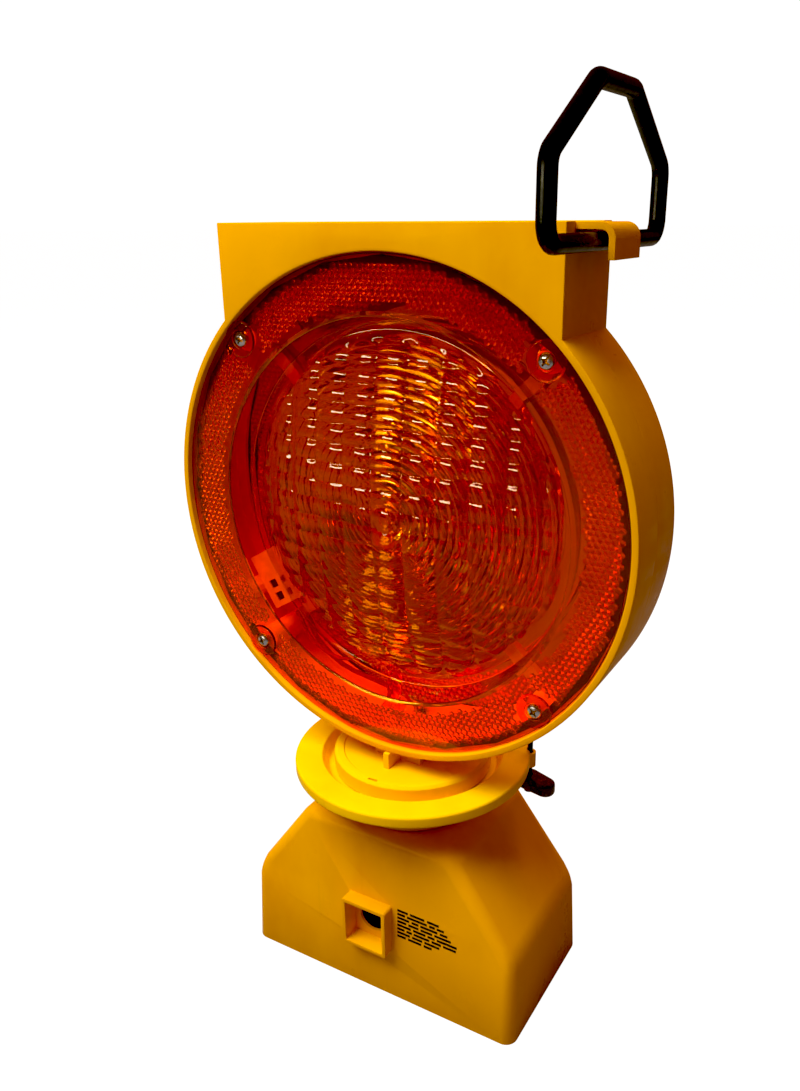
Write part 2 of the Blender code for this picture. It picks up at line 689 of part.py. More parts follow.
def top_cover(finish, pivot):
    half_width = BOX_HALF_WIDTH - HEAD_WALL - FIT
    half_depth = HEAD_HALF_DEPTH - HEAD_WALL - FIT
    floor = COVER_TOP_Z - COVER_PLATE
    plate = block((-half_width, -half_depth, floor), (half_width, half_depth, COVER_TOP_Z))
    cover = place("top_cover", plate, finish, pivot)
    leg = CLIP_LEG_X
    bend = 0.0048
    outer = arc((leg - bend, COVER_TOP_Z - bend), bend, math.radians(90), 0, 5)
    inner = arc((leg - bend, COVER_TOP_Z - bend), bend - CLIP_THICK, 0, math.radians(90), 5)
    hook = [(0.0600, COVER_TOP_Z), *outer, (leg, CLIP_FOOT_Z), (leg - CLIP_THICK, CLIP_FOOT_Z), *inner]
    hook += [(0.0600, COVER_TOP_Z - CLIP_THICK)]
    join(cover, prism(hook, -CLIP_HALF_WIDTH, CLIP_HALF_WIDTH))
    catch_top = HANDLE_Z - HANDLE_ROD - FIT
    catch_side = CLIP_HALF_WIDTH - 0.0005
    join(cover, block((leg - 0.0072, 0.0065, CLIP_FOOT_Z), (leg - 0.001, catch_side, catch_top)))
    recess = COVER_TOP_Z - PANEL_THICK - WINDOW_THICK - 2 * GAP
    wide, deep = PANEL_HALF_WIDTH + FIT, PANEL_HALF_DEPTH + FIT
    cut(cover, block((-wide, -deep, recess), (wide, deep, 0.31)))
    cut(cover, rod((0.040, 0, 0.29), (0.040, 0, 0.31), 0.0030))
    return cover


def solar_panel(cell_finish, window_finish, pivot):
    low = COVER_TOP_Z - PANEL_THICK - WINDOW_THICK - GAP
    wide, deep = PANEL_HALF_WIDTH, PANEL_HALF_DEPTH
    place("solar_panel", block((-wide, -deep, low), (wide, deep, low + PANEL_THICK)), cell_finish, pivot)
    window_low = low + PANEL_THICK + GAP
    window = block((-wide, -deep, window_low), (wide, deep, window_low + WINDOW_THICK))
    place("solar_window", window, window_finish, pivot)


def lens_profile():
    """A lens half-section as (radius, distance out) points: ring, step wall, flange, dome."""

    def dome(foot_radius, foot, apex, k):
        share = k / DOME_STEPS
        return (foot_radius * (1 - share), foot + (apex - foot) * (1 - (1 - share) ** 2))

    outer = [dome(DOME_RADIUS, DOME_FOOT, DOME_APEX, k) for k in range(DOME_STEPS + 1)]
    thin = LENS_THICK
    inner = [dome(DOME_RADIUS, DOME_FOOT - thin, DOME_APEX - thin, k) for k in range(DOME_STEPS + 1)]
    return [
        (LENS_RADIUS, LENS_RING_BACK),
        (LENS_RADIUS, LENS_RING_FACE),
        (LENS_STEP_RADIUS, LENS_RING_FACE),
        (LENS_STEP_RADIUS - 0.0022, DOME_FOOT),
        *outer,
        *reversed(inner),
        (LENS_STEP_RADIUS - 0.0006, DOME_FOOT - thin),
        (LENS_STEP_RADIUS + 0.0018, LENS_RING_BACK),
    ]


def lens(side, sign, lens_finish, gasket_finish, screw_finish, pivot):
    """sign is -1 for the front and 1 for the rear."""
    profile = [(radius, -sign * out) for radius, out in lens_profile()]
    body = place(f"{side}_lens", turned(profile, (0, 0, HEAD_Z), "Y", LENS_SIDES), lens_finish, pivot)
    low, high = LEDGE_FACE + GAP, LENS_RING_BACK - GAP
    ring = [(0.0886, low), (0.0916, low), (0.0916, high), (0.0886, high)]
    ring = [(radius, -sign * out) for radius, out in ring]
    place(f"{side}_gasket", turned(ring, (0, 0, HEAD_Z), "Y", RING_SIDES), gasket_finish, pivot)
    floor = LENS_RING_FACE - COUNTERBORE_DEPTH
    bore = SCREW_RADIUS + FIT
    wide = COUNTERBORE_RADIUS
    hole = [(0, 0.03), (wide, 0.03), (wide, floor), (bore, floor), (bore, 0.01), (0, 0.01)]
    for number, (sx, sz) in enumerate(((-1, 1), (1, 1), (1, -1), (-1, -1)), start=1):
        x, z = sx * LENS_SCREW_OFFSET, HEAD_Z + sz * LENS_SCREW_OFFSET
        cut(body, turned([(radius, -sign * out) for radius, out in hole], (x, 0, z), "Y"))
        seat = (x, sign * (floor + GAP), z)
        screw(f"{side}_lens_screw_{number}", seat, (0, -sign, 0), screw_finish, pivot)


def light_source(finishes, pivot):
    """A post from the drum's floor carries the board, with lamps on both faces."""
    half, thick = LED_BOARD_HALF, LED_BOARD_THICK / 2
    board = block((-half, -thick, HEAD_Z - half), (half, thick, HEAD_Z + half))
    place("led_board", board, finishes["board"], pivot)
    foot_z = HEAD_Z - math.sqrt(DRUM_BORE**2 - 0.0165**2) + GAP
    left, right = -0.0095, -0.0065
    stem = block((left, -0.0030, foot_z), (right, 0.0030, HEAD_Z - half + 0.004))
    post = place("led_post", stem, finishes["post"], pivot)
    join(post, block((-0.0165, -0.0060, foot_z), (-0.0065, 0.0060, foot_z + 0.0016)))
    cut(post, block((left - 0.01, -thick - GAP, HEAD_Z - half - GAP), (right + 0.01, thick + GAP, HEAD_Z)))
    for side, sign in (("front", -1), ("rear", 1)):
        for number, x in enumerate((-LED_SPACING, LED_SPACING), start=1):
            base = thick + GAP
            profile = [
                (0, base),
                (LED_RADIUS + 0.0004, base),
                (LED_RADIUS + 0.0004, base + 0.0008),
                (LED_RADIUS, base + 0.0008),
                (LED_RADIUS, base + 0.0030),
                (0.8 * LED_RADIUS, base + 0.0046),
                (0.4 * LED_RADIUS, base + 0.0054),
                (0, base + 0.0056),
            ]
            profile = [(radius, -sign * out) for radius, out in profile]
            centre = (x, 0, HEAD_Z + 0.002)
            place(f"{side}_led_{number}", turned(profile, centre, "Y", SMALL_SIDES), finishes["led"], pivot)
    cell_z = HEAD_Z - 0.006
    cell = rod((0.004, -thick - GAP, cell_z), (0.004, -thick - 0.0018, cell_z), 0.0022)
    place("photocell", cell, finishes["cell"], pivot)


def switch_box(finish, pivot):
    """The switch body lies along the drum wall; its nose passes through the wall."""
    angle = -SWITCH_ANGLE
    turn = Matrix.Translation((0, 0, HEAD_Z)) @ Matrix.Rotation(angle, 4, "Y")

    def turned_in(bm):
        bmesh.ops.transform(bm, matrix=turn, verts=bm.verts)
        return bm

    length, depth = SWITCH_HALF_LENGTH, SWITCH_HALF_DEPTH
    body = turned_in(block((SWITCH_INNER, -depth, -length), (SWITCH_OUTER, depth, length)))
    body = place("switch_box", body, finish, pivot, (0, 0, HEAD_Z), angle)
    join(body, turned_in(rod((SWITCH_OUTER - 0.002, 0, 0), (NOSE_END, 0, 0), NOSE_RADIUS)))
    cut(body, turned_in(rod((SWITCH_OUTER + 0.0015, 0, 0), (0.11, 0, 0), BUTTON_RADIUS + FIT)))
    middle = (SWITCH_INNER + SWITCH_OUTER) / 2
    for z in (0.0020, 0.0078):
        low, high = (middle - 0.0018, -0.02, z - 0.0018), (middle + 0.0018, -depth + 0.004, z + 0.0018)
        cut(body, turned_in(block(low, high)))
        cut(body, turned_in(block((0.06, -0.0045, z - 0.0015), (SWITCH_INNER + 0.002, -0.0010, z + 0.0015))))


def switch_button(finish, pivot):
    outward = Vector((math.cos(SWITCH_ANGLE), 0, math.sin(SWITCH_ANGLE)))
    middle = Vector((0, 0, HEAD_Z))
    button = rod(middle + BUTTON_START * outward, middle + BUTTON_END * outward, BUTTON_RADIUS)
    place("switch_button", button, finish, pivot, middle + BUTTON_START * outward)


def neck_screws(finish, pivot):
    seat = HEAD_Z - math.sqrt(DRUM_BORE**2 - SCREW_HEAD_RADIUS**2) + GAP
    for number, y in enumerate((-NECK_SCREW_Y, NECK_SCREW_Y), start=1):
        screw(f"neck_screw_{number}", (0, y, seat), (0, 0, -1), finish, pivot, length=0.0085)


def wires(finish, pivot):
    """Flexible leads: board to neck, neck to switch, switch to lamp board, panel to switch."""
    base_route = [(0.010, 0.002, 0.0504), (0.009, 0.001, 0.056), (0.003, 0, 0.064)]
    base_route += [(0, 0, 0.074), (0, 0, 0.087)]
    tube("base_lead", smooth_route([Vector(p) for p in base_route]), 0.0014, finish)
    drum_route = [
        (0, 0, 0.0885),
        (0, 0, 0.101),
        (0.001, 0.002, 0.112),
        (-0.006, 0.008, 0.117),
        (-0.020, 0.008, 0.120),
        (-0.036, 0.004, 0.126),
        (-0.047, 0.001, 0.137),
        (-0.0520, 0.0010, 0.1475),
    ]
    tube("drum_lead", smooth_route([Vector(p) for p in drum_route]), 0.0010, finish, pivot)
    lamp_route = [
        (-0.0540, -0.0030, 0.1495),
        (-0.046, -0.0035, 0.138),
        (-0.032, -0.0035, 0.1325),
        (-0.017, -0.0035, 0.139),
        (-0.0045, -0.0038, 0.160),
        (-0.002, -0.0036, 0.182),
        (-0.003, -0.0023, 0.1925),
    ]
    tube("lamp_lead", smooth_route([Vector(p) for p in lamp_route]), 0.0007, finish, pivot)
    panel_route = [
        (0.040, 0, 0.2998),
        (0.043, 0, 0.2945),
        (0.050, 0, 0.2895),
        (0.058, 0, 0.2840),
    ]
    tube("panel_lead", smooth_route([Vector(p) for p in panel_route]), 0.0010, finish, pivot)


# ---- Handle -----------------------------------------------------------------
def handle(finish, pivot):
    half, top = HANDLE_HALF_WIDTH, HANDLE_TOP_HALF
    corners = [
        (-half, 0),
        (half, 0),
        (half, HANDLE_SIDE),
        (top, HANDLE_RISE),
        (-top, HANDLE_RISE),
        (-half, HANDLE_SIDE),
    ]
    points = []
    for i, corner in enumerate(corners):
        before, after = corners[i - 1], corners[(i + 1) % len(corners)]
        points += rounded_corner(before, corner, after, HANDLE_BEND)
    at = (HANDLE_X, 0, HANDLE_Z)
    route = [(HANDLE_X, y, HANDLE_Z + z) for y, z in points]
    tube("handle", route, HANDLE_ROD, finish, pivot, at, closed=True, resolution=4)


# ---- Assembly ---------------------------------------------------------------
def main():
    for obj in list(bpy.data.objects):
        bpy.data.objects.remove(obj)

    yellow = material("yellow_plastic", (0.83, 0.36, 0.01), 0.35)
    bright = material("bright_yellow_plastic", (0.90, 0.50, 0.01), 0.35)
    amber = material("amber_lens", (0.80, 0.12, 0.01), 0.08, transmission=0.8)
    black = material("black_plastic", (0.01, 0.01, 0.012), 0.2)
    purple = material("dark_lever_plastic", (0.03, 0.015, 0.02), 0.25)
    rubber = material("black_rubber", (0.02, 0.02, 0.02), 0.8)
    steel = material("zinc_steel", (0.6, 0.6, 0.6), 0.3, metallic=1.0)
    orange = material("orange_plastic", (0.75, 0.18, 0.02), 0.45)
    green = material("green_board", (0.02, 0.16, 0.05), 0.5)
    blue = material("solar_cell", (0.01, 0.02, 0.08), 0.25)
    clear = material("clear_window", (0.9, 0.9, 0.9), 0.05, transmission=0.9)
    warm = material("led_lens", (0.95, 0.75, 0.35), 0.15, transmission=0.4)
    sleeve = material("battery_sleeve", (0.05, 0.20, 0.12), 0.4)
    white = material("white_plastic", (0.75, 0.75, 0.72), 0.45)
    red = material("red_wire", (0.25, 0.01, 0.01), 0.4)

    head = pivot_empty("head_swivel", (0, 0, COLLAR_TOP_Z))
    handle_axis = pivot_empty("handle_pivot", (HANDLE_X, 0, HANDLE_Z))
    lever_axis = pivot_empty("lever_pivot", (LEVER_X, LEVER_Y, LEVER_Z))

    base_housing(yellow)
    bottom_cover(black, rubber, steel)
    power_pack({"carrier": white, "cell": sleeve, "contact": steel})
    control_board({"board": green, "chip": black, "capacitor": blue})
    collar_ring(bright)
    lock_pin(black)
    lock_lever(purple, lever_axis)

    head_neck(yellow, head)
    swivel_fasteners(steel, steel, head)
    head_shell(yellow, head)
    top_cover(yellow, head)
    solar_panel(blue, clear, head)
    lens("front", -1, amber, rubber, steel, head)
    lens("rear", 1, amber, rubber, steel, head)
    light_source({"board": green, "post": orange, "led": warm, "cell": red}, head)
    switch_box(orange, head)
    switch_button(rubber, head)
    neck_screws(steel, head)
    wires(red, head)
    handle(black, handle_axis)


main()
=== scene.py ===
"""Looks for the solar barricade warning light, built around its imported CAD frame."""

import math

import bmesh
import bpy
import numpy as np
from mathutils import Matrix, Vector


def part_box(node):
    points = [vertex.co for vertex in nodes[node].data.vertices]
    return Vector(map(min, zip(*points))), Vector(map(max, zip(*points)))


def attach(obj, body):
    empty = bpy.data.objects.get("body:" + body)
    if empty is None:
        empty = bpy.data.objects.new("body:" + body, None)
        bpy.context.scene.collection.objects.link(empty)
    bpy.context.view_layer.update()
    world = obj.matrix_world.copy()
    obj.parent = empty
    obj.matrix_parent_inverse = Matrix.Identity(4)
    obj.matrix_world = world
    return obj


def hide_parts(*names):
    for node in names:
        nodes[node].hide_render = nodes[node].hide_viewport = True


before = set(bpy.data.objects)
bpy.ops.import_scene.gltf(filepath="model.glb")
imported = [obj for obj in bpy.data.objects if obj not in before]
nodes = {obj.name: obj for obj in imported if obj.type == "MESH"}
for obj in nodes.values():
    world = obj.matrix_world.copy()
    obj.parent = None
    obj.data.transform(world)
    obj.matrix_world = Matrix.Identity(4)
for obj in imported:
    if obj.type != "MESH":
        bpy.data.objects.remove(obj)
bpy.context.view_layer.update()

# ---- Sizes, in metres, as in the CAD ----------------------------------------
BASE_HALF_WIDTH, BASE_HALF_DEPTH, BASE_DRAFT = 0.0634, 0.0337, 0.041
SHOULDER_Z, BASE_TOP_Z, BASE_TOP_HALF_WIDTH = 0.0376, 0.0756, 0.0342
BASE_WALL, BASE_ROUND = 0.0024, 0.0050
BOLT_X, BOLT_Z, BOLT_HOLE_RADIUS, TUNNEL_RADIUS = -0.0020, 0.0330, 0.0063, 0.0086
SOCKET_HALF_WIDTH, SOCKET_HALF_HEIGHT = 0.0104, 0.0110
SOCKET_STANDS_OUT, SOCKET_RECESS, SOCKET_WALL = 0.0055, 0.0075, 0.0016
COLLAR_TOP_Z, COLLAR_RADIUS, COLLAR_MOUTH, COLLAR_FLOOR_Z = 0.0977, 0.0483, 0.0373, 0.0925
SPIGOT_RADIUS, SPIGOT_BORE, SPIGOT_FOOT_Z = 0.0222, 0.0180, 0.0665
DISC_RADIUS, DISC_TOP_Z = 0.0323, 0.0994
HEAD_Z, DRUM_RADIUS, DRUM_BORE, HEAD_HALF_DEPTH = 0.2013, 0.0950, 0.0926, 0.0192
BOX_HALF_WIDTH, BOX_TOP_Z, HEAD_WALL = 0.0666, 0.3028, 0.0022
LEDGE_RADIUS, LEDGE_FACE, LEDGE_THICK = 0.0880, 0.0137, 0.0020
LENS_RADIUS, RING_FACE, RING_BACK = 0.0922, 0.0176, 0.0164
STEP_RADIUS, DOME_RADIUS, DOME_FOOT, DOME_APEX = 0.0717, 0.0665, 0.0072, 0.0171
LENS_THICK = 0.0020
SCREW_OFFSET, SCREW_HEAD_HEIGHT, BOSS_RADIUS = 0.0610, 0.0017, 0.0045
COVER_TOP_Z, COVER_PLATE = 0.3025, 0.0040
PANEL_HALF_WIDTH, PANEL_HALF_DEPTH = 0.0560, 0.0135
CLIP_HALF_WIDTH, CLIP_THICK, CLIP_LEG_X, CLIP_FOOT_Z = 0.0115, 0.0020, 0.0788, 0.2918
HANDLE_X, HANDLE_Z, HANDLE_ROD = 0.0724, 0.2970, 0.0028
HANDLE_HALF_WIDTH, HANDLE_SIDE, HANDLE_RISE = 0.0478, 0.0222, 0.0430
HANDLE_TOP_HALF, HANDLE_BEND = 0.0150, 0.0060
LEVER_X, LEVER_Y, LEVER_Z, LEVER_REACH, LEVER_HALF_WIDTH = 0.0425, 0.0234, 0.0824, 0.0082, 0.0042
LEVER_THICK, LEVER_ANGLE, PIN_RADIUS = 0.0056, math.radians(-15), 0.0011
EAR_LOW_Z, EAR_RADIUS = 0.0900, 0.0024
SWITCH_ANGLE, SWITCH_MIDDLE, SWITCH_HALF_DEPTH = math.radians(211), 0.0762, 0.0048
PEDESTAL_HALF_WIDTH, PEDESTAL_HALF_DEPTH, PEDESTAL_TOP_Z = 0.0105, 0.0120, 0.1130
WEB_HALF_WIDTH, WEB_HALF_DEPTH, WEB_TOP_Z = 0.0012, 0.0206, 0.1100
WIRE_HOLE_RADIUS = 0.0045
GAP, FIT = 0.0003, 0.0004

# ---- Lens optics ------------------------------------------------------------
PILLOW_WIDE, PILLOW_HIGH = 0.0130, 0.0073
SWELL_ACROSS, SWELL_UP = 0.00110, 0.00050
RING_PITCH, RING_COUNT = 0.00275, 22
EYE_RADIUS, EYE_STANDS_OUT = 0.0052, 0.0011
CELL_PITCH = 0.0023

# ---- Light ------------------------------------------------------------------
BACKDROP = 1.02
WORLD_FILL = 0.19
WORLD_TINT = (1.0, 0.27, 0.18, 1.0)
BLACK_LEVEL = (0.025, 0.021, 0.030)


# ---- Shapes -----------------------------------------------------------------
def block(low, high):
    bm = bmesh.new()
    bmesh.ops.create_cube(bm, size=1.0)
    size = Vector(high) - Vector(low)
    middle = (Vector(high) + Vector(low)) / 2
    scale = Matrix.Diagonal((*size, 1.0))
    bmesh.ops.transform(bm, matrix=Matrix.Translation(middle) @ scale, verts=bm.verts)
    return bm


def rod(start, end, radius, sides=48, end_radius=None):
    bm = bmesh.new()
    start, end = Vector(start), Vector(end)
    top = radius if end_radius is None else end_radius
    length = (end - start).length
    bmesh.ops.create_cone(bm, cap_ends=True, segments=sides, radius1=radius, radius2=top, depth=length)
    turn = Vector((0, 0, 1)).rotation_difference(end - start).to_matrix().to_4x4()
    bmesh.ops.transform(bm, matrix=Matrix.Translation((start + end) / 2) @ turn, verts=bm.verts)
    return bm


def prism(outline, low, high, axis="Y"):
    bm = bmesh.new()

    def point(u, v, w):
        return (u, w, v) if axis == "Y" else (u, v, w)

    first = [bm.verts.new(point(u, v, low)) for u, v in outline]
    last = [bm.verts.new(point(u, v, high)) for u, v in outline]
    bm.faces.new(first)
    bm.faces.new(reversed(last))
    for i in range(len(outline)):
        j = (i + 1) % len(outline)
        bm.faces.new((first[i], last[i], last[j], first[j]))
    return bm


def turned(profile, centre=(0, 0, 0), axis="Z", sides=128):
    """Turns a closed profile of (radius, height) points about an axis through the centre."""
    bm = bmesh.new()
    rings = []
    for radius, height in profile:
        ring = []
        for i in range(sides):
            if radius == 0 and ring:
                ring.append(ring[0])
                continue
            a = math.tau * i / sides
            u, v = radius * math.cos(a), radius * math.sin(a)
            offset = Vector((u, v, height)) if axis == "Z" else Vector((u, -height, v))
            ring.append(bm.verts.new(Vector(centre) + offset))
        rings.append(ring)
    for k, ring in enumerate(rings):
        above = rings[(k + 1) % len(rings)]
        for i in range(sides):
            j = (i + 1) % sides
            corners = list(dict.fromkeys((ring[i], ring[j], above[j], above[i])))
            if len(corners) > 2:
                bm.faces.new(corners)
    return bm


def arc(centre, radius, start, end, steps):
    angles = [start + (end - start) * i / steps for i in range(steps + 1)]
    return [(centre[0] + radius * math.cos(a), centre[1] + radius * math.sin(a)) for a in angles]


def rounded(profile, radii, steps=4):
    """Rounds the corners of a closed profile. radii gives each corner's radius, 0 for a sharp one."""
    made = []
    for i, (corner, radius) in enumerate(zip(profile, radii)):
        if radius == 0:
            made.append(tuple(corner))
            continue
        corner = Vector(corner)
        one = (Vector(profile[i - 1]) - corner).normalized()
        two = (Vector(profile[(i + 1) % len(profile)]) - corner).normalized()
        half = one.angle(two) / 2
        middle = corner + (one + two).normalized() * (radius / math.sin(half))
        start = (corner + one * (radius / math.tan(half)) - middle).normalized()
        end = (corner + two * (radius / math.tan(half)) - middle).normalized()
        turns = [start.slerp(end, k / steps).normalized() for k in range(steps + 1)]
        made += [tuple(middle + radius * turn) for turn in turns]
    return made


def together(*shapes):
    whole = shapes[0]
    for other in shapes[1:]:
        copy = {vert: whole.verts.new(vert.co) for vert in other.verts}
        for face in other.faces:
            whole.faces.new([copy[vert] for vert in face.verts])
        other.free()
    return whole


# ---- Objects ----------------------------------------------------------------
def finish_shading(mesh, sharp):
    mesh.shade_smooth()
    mesh.set_sharp_from_angle(angle=math.radians(sharp))


def make(name, bm, look, sharp=32):
    bmesh.ops.recalc_face_normals(bm, faces=bm.faces)
    mesh = bpy.data.meshes.new(name)
    bm.to_mesh(mesh)
    bm.free()
    finish_shading(mesh, sharp)
    obj = bpy.data.objects.new(name, mesh)
    mesh.materials.append(look)
    bpy.context.scene.collection.objects.link(obj)
    return obj


def settle(obj, sharp=32):
    """Applies the object's modifiers."""
    graph = bpy.context.evaluated_depsgraph_get()
    mesh = bpy.data.meshes.new_from_object(obj.evaluated_get(graph))
    obj.modifiers.clear()
    old = obj.data
    obj.data = mesh
    bpy.data.meshes.remove(old)
    finish_shading(mesh, sharp)


def boolean(obj, bm, operation):
    helper = make(f"{obj.name}_tool", bm, obj.data.materials[0])
    modifier = obj.modifiers.new("boolean", "BOOLEAN")
    modifier.operation = operation
    modifier.object = helper
    settle(obj)
    bpy.data.objects.remove(helper)


def soften(obj, width, segments=3, angle=32):
    bevel = obj.modifiers.new("edges", "BEVEL")
    bevel.width = width
    bevel.segments = segments
    bevel.limit_method = "ANGLE"
    bevel.angle_limit = math.radians(angle)
    settle(obj)


def stands_for(obj, body, slot, *replaced):
    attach(obj, body)
    if replaced:
        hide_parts(*replaced)
    return obj


# ---- Material building ------------------------------------------------------
class Look:
    """A Principled material with short calls for its texture nodes."""

    def __init__(self, name):
        self.material = bpy.data.materials.new(name)
        self.material.use_nodes = True
        self.tree = self.material.node_tree
        self.shader = self.tree.nodes["Principled BSDF"]
        self.coords = self.tree.nodes.new("ShaderNodeTexCoord").outputs["Object"]

    def node(self, kind, **values):
        made = self.tree.nodes.new(kind)
        for key, value in values.items():
            setattr(made, key, value)
        return made

    def link(self, source, target):
        self.tree.links.new(source, target)

    def set(self, **values):
        for key, value in values.items():
            self.shader.inputs[key.replace("_", " ")].default_value = value

    def stretched(self, scale):
        mapping = self.node("ShaderNodeMapping")
        self.link(self.coords, mapping.inputs["Vector"])
        mapping.inputs["Scale"].default_value = scale
        return mapping.outputs["Vector"]

    def noise(self, scale, detail=3.0, roughness=0.55, where=None):
        made = self.node("ShaderNodeTexNoise")
        self.link(where or self.coords, made.inputs["Vector"])
        made.inputs["Scale"].default_value = scale
        made.inputs["Detail"].default_value = detail
        made.inputs["Roughness"].default_value = roughness
        return made.outputs["Fac"]

    def ramp(self, source, *stops):
        """stops are (position, colour) pairs."""
        made = self.node("ShaderNodeValToRGB")
        elements = made.color_ramp.elements
        while len(elements) < len(stops):
            elements.new(0.5)
        for element, (position, colour) in zip(elements, stops):
            element.position = position
            element.color = (*colour, 1.0)
        self.link(source, made.inputs["Fac"])
        return made.outputs["Color"]

    def between(self, source, low, high, start=0.0, end=1.0):
        made = self.node("ShaderNodeMapRange")
        made.inputs["From Min"].default_value = start
        made.inputs["From Max"].default_value = end
        made.inputs["To Min"].default_value = low
        made.inputs["To Max"].default_value = high
        self.link(source, made.inputs["Value"])
        return made.outputs["Result"]

    def mix(self, factor, first, second, blend="MIX"):
        made = self.node("ShaderNodeMix", data_type="RGBA", blend_type=blend)
        for number, value in ((0, factor), (6, first), (7, second)):
            socket = made.inputs[number]
            if isinstance(value, (int, float)):
                socket.default_value = value
            elif isinstance(value, tuple):
                socket.default_value = (*value, 1.0)
            else:
                self.link(value, socket)
        return made.outputs[2]

    def bump(self, source, strength, distance, under=None):
        made = self.node("ShaderNodeBump")
        made.inputs["Strength"].default_value = strength
        made.inputs["Distance"].default_value = distance
        self.link(source, made.inputs["Height"])
        if under is not None:
            self.link(under, made.inputs["Normal"])
        return made.outputs["Normal"]


def shade(colour, factor):
    return tuple(min(c * factor, 1.0) for c in colour)


def moulded_plastic(name, colour, deep, roughness=0.32, specks=True):
    """Satin moulded plastic: flow mottling, faint scuffs, fine grain and a few brown specks."""
    look = Look(name)
    flow = look.noise(22.0, 4.0, 0.6, look.stretched((1.0, 1.0, 0.45)))
    tone = look.ramp(flow, (0.30, deep), (0.55, colour), (0.80, shade(colour, 1.06)))
    scuff = look.noise(260.0, 2.0, 0.5, look.stretched((1.0, 1.0, 0.08)))
    scuffed = look.between(scuff, 0.0, 0.22, 0.66, 0.80)
    tone = look.mix(scuffed, tone, shade(colour, 0.80))
    if specks:
        cells = look.node("ShaderNodeTexVoronoi", feature="F1")
        look.link(look.coords, cells.inputs["Vector"])
        cells.inputs["Scale"].default_value = 95.0
        dot = look.between(cells.outputs["Distance"], 1.0, 0.0, 0.02, 0.075)
        rare = look.between(look.noise(31.0, 1.0), 0.0, 1.0, 0.66, 0.70)
        both = look.node("ShaderNodeMath", operation="MULTIPLY")
        look.link(dot, both.inputs[0])
        look.link(rare, both.inputs[1])
        tone = look.mix(both.outputs[0], tone, (0.20, 0.07, 0.01))
    look.link(tone, look.shader.inputs["Base Color"])
    wear = look.between(look.noise(75.0, 5.0, 0.6), roughness - 0.07, roughness + 0.10, 0.3, 0.7)
    look.link(wear, look.shader.inputs["Roughness"])
    grain = look.bump(look.noise(2600.0, 2.0), 0.06, 0.0002)
    waves = look.bump(look.noise(60.0, 2.0), 0.05, 0.0012, grain)
    look.link(waves, look.shader.inputs["Normal"])
    look.set(IOR=1.5, Specular_IOR_Level=0.13)
    return look


def gloss_coated(name, colour, roughness, coat):
    """Glossy black coating with a faint orange peel and dust."""
    look = Look(name)
    dust = look.noise(420.0, 6.0, 0.65)
    tone = look.ramp(dust, (0.45, colour), (0.78, shade(colour, 3.0)))
    look.link(tone, look.shader.inputs["Base Color"])
    dulled = look.between(dust, roughness, roughness + 0.22, 0.35, 0.85)
    look.link(dulled, look.shader.inputs["Roughness"])
    look.link(look.bump(look.noise(520.0, 2.0), 0.10, 0.0003), look.shader.inputs["Normal"])
    look.set(IOR=1.48, Coat_Weight=coat, Coat_Roughness=0.08)
    return look


def metal(name, colour):
    look = Look(name)
    stain = look.noise(380.0, 4.0, 0.6)
    tone = look.ramp(stain, (0.3, shade(colour, 0.75)), (0.6, colour), (0.85, shade(colour, 1.15)))
    look.link(tone, look.shader.inputs["Base Color"])
    brushed = look.noise(900.0, 2.0, 0.5, look.stretched((1.0, 1.0, 6.0)))
    look.link(look.between(brushed, 0.16, 0.38, 0.3, 0.7), look.shader.inputs["Roughness"])
    look.link(look.bump(brushed, 0.08, 0.0001), look.shader.inputs["Normal"])
    look.set(Metallic=1.0)
    return look


def plain_variation(name, colour, roughness, scale=180.0, grain=1800.0, spread=0.16):
    """Small inner pieces: mottled colour with a fine grain."""
    look = Look(name)
    patch = look.noise(scale, 4.0, 0.6)
    tone = look.ramp(patch, (0.3, shade(colour, 1 - spread)), (0.7, shade(colour, 1 + spread)))
    look.link(tone, look.shader.inputs["Base Color"])
    dulled = look.between(patch, roughness - 0.05, roughness + 0.08, 0.3, 0.7)
    look.link(dulled, look.shader.inputs["Roughness"])
    look.link(look.bump(look.noise(grain, 2.0), 0.08, 0.0002), look.shader.inputs["Normal"])
    return look


def amber_plastic(name, tint, shadow_tint, clear):
    """Clear amber plastic that lets lamps through to what lies behind it."""
    look = Look(name)
    streak = look.noise(45.0, 3.0, 0.5, look.stretched((1.0, 1.0, 0.6)))
    tone = look.ramp(streak, (0.3, shade(tint, 0.92)), (0.7, tint))
    look.link(tone, look.shader.inputs["Base Color"])
    hazed = look.between(look.noise(300.0, 3.0), 0.015, 0.06, 0.3, 0.8)
    look.link(hazed, look.shader.inputs["Roughness"])
    look.link(look.bump(look.noise(90.0, 2.0), 0.03, 0.0006), look.shader.inputs["Normal"])
    look.set(Transmission_Weight=clear, IOR=1.5)
    passes = look.node("ShaderNodeBsdfTransparent")
    passes.inputs["Color"].default_value = (*shadow_tint, 1.0)
    rays = look.node("ShaderNodeLightPath")
    both = look.node("ShaderNodeMixShader")
    out = look.tree.nodes["Material Output"]
    look.link(rays.outputs["Is Shadow Ray"], both.inputs[0])
    look.link(look.shader.outputs[0], both.inputs[1])
    look.link(passes.outputs[0], both.inputs[2])
    look.link(both.outputs[0], out.inputs["Surface"])
    return look


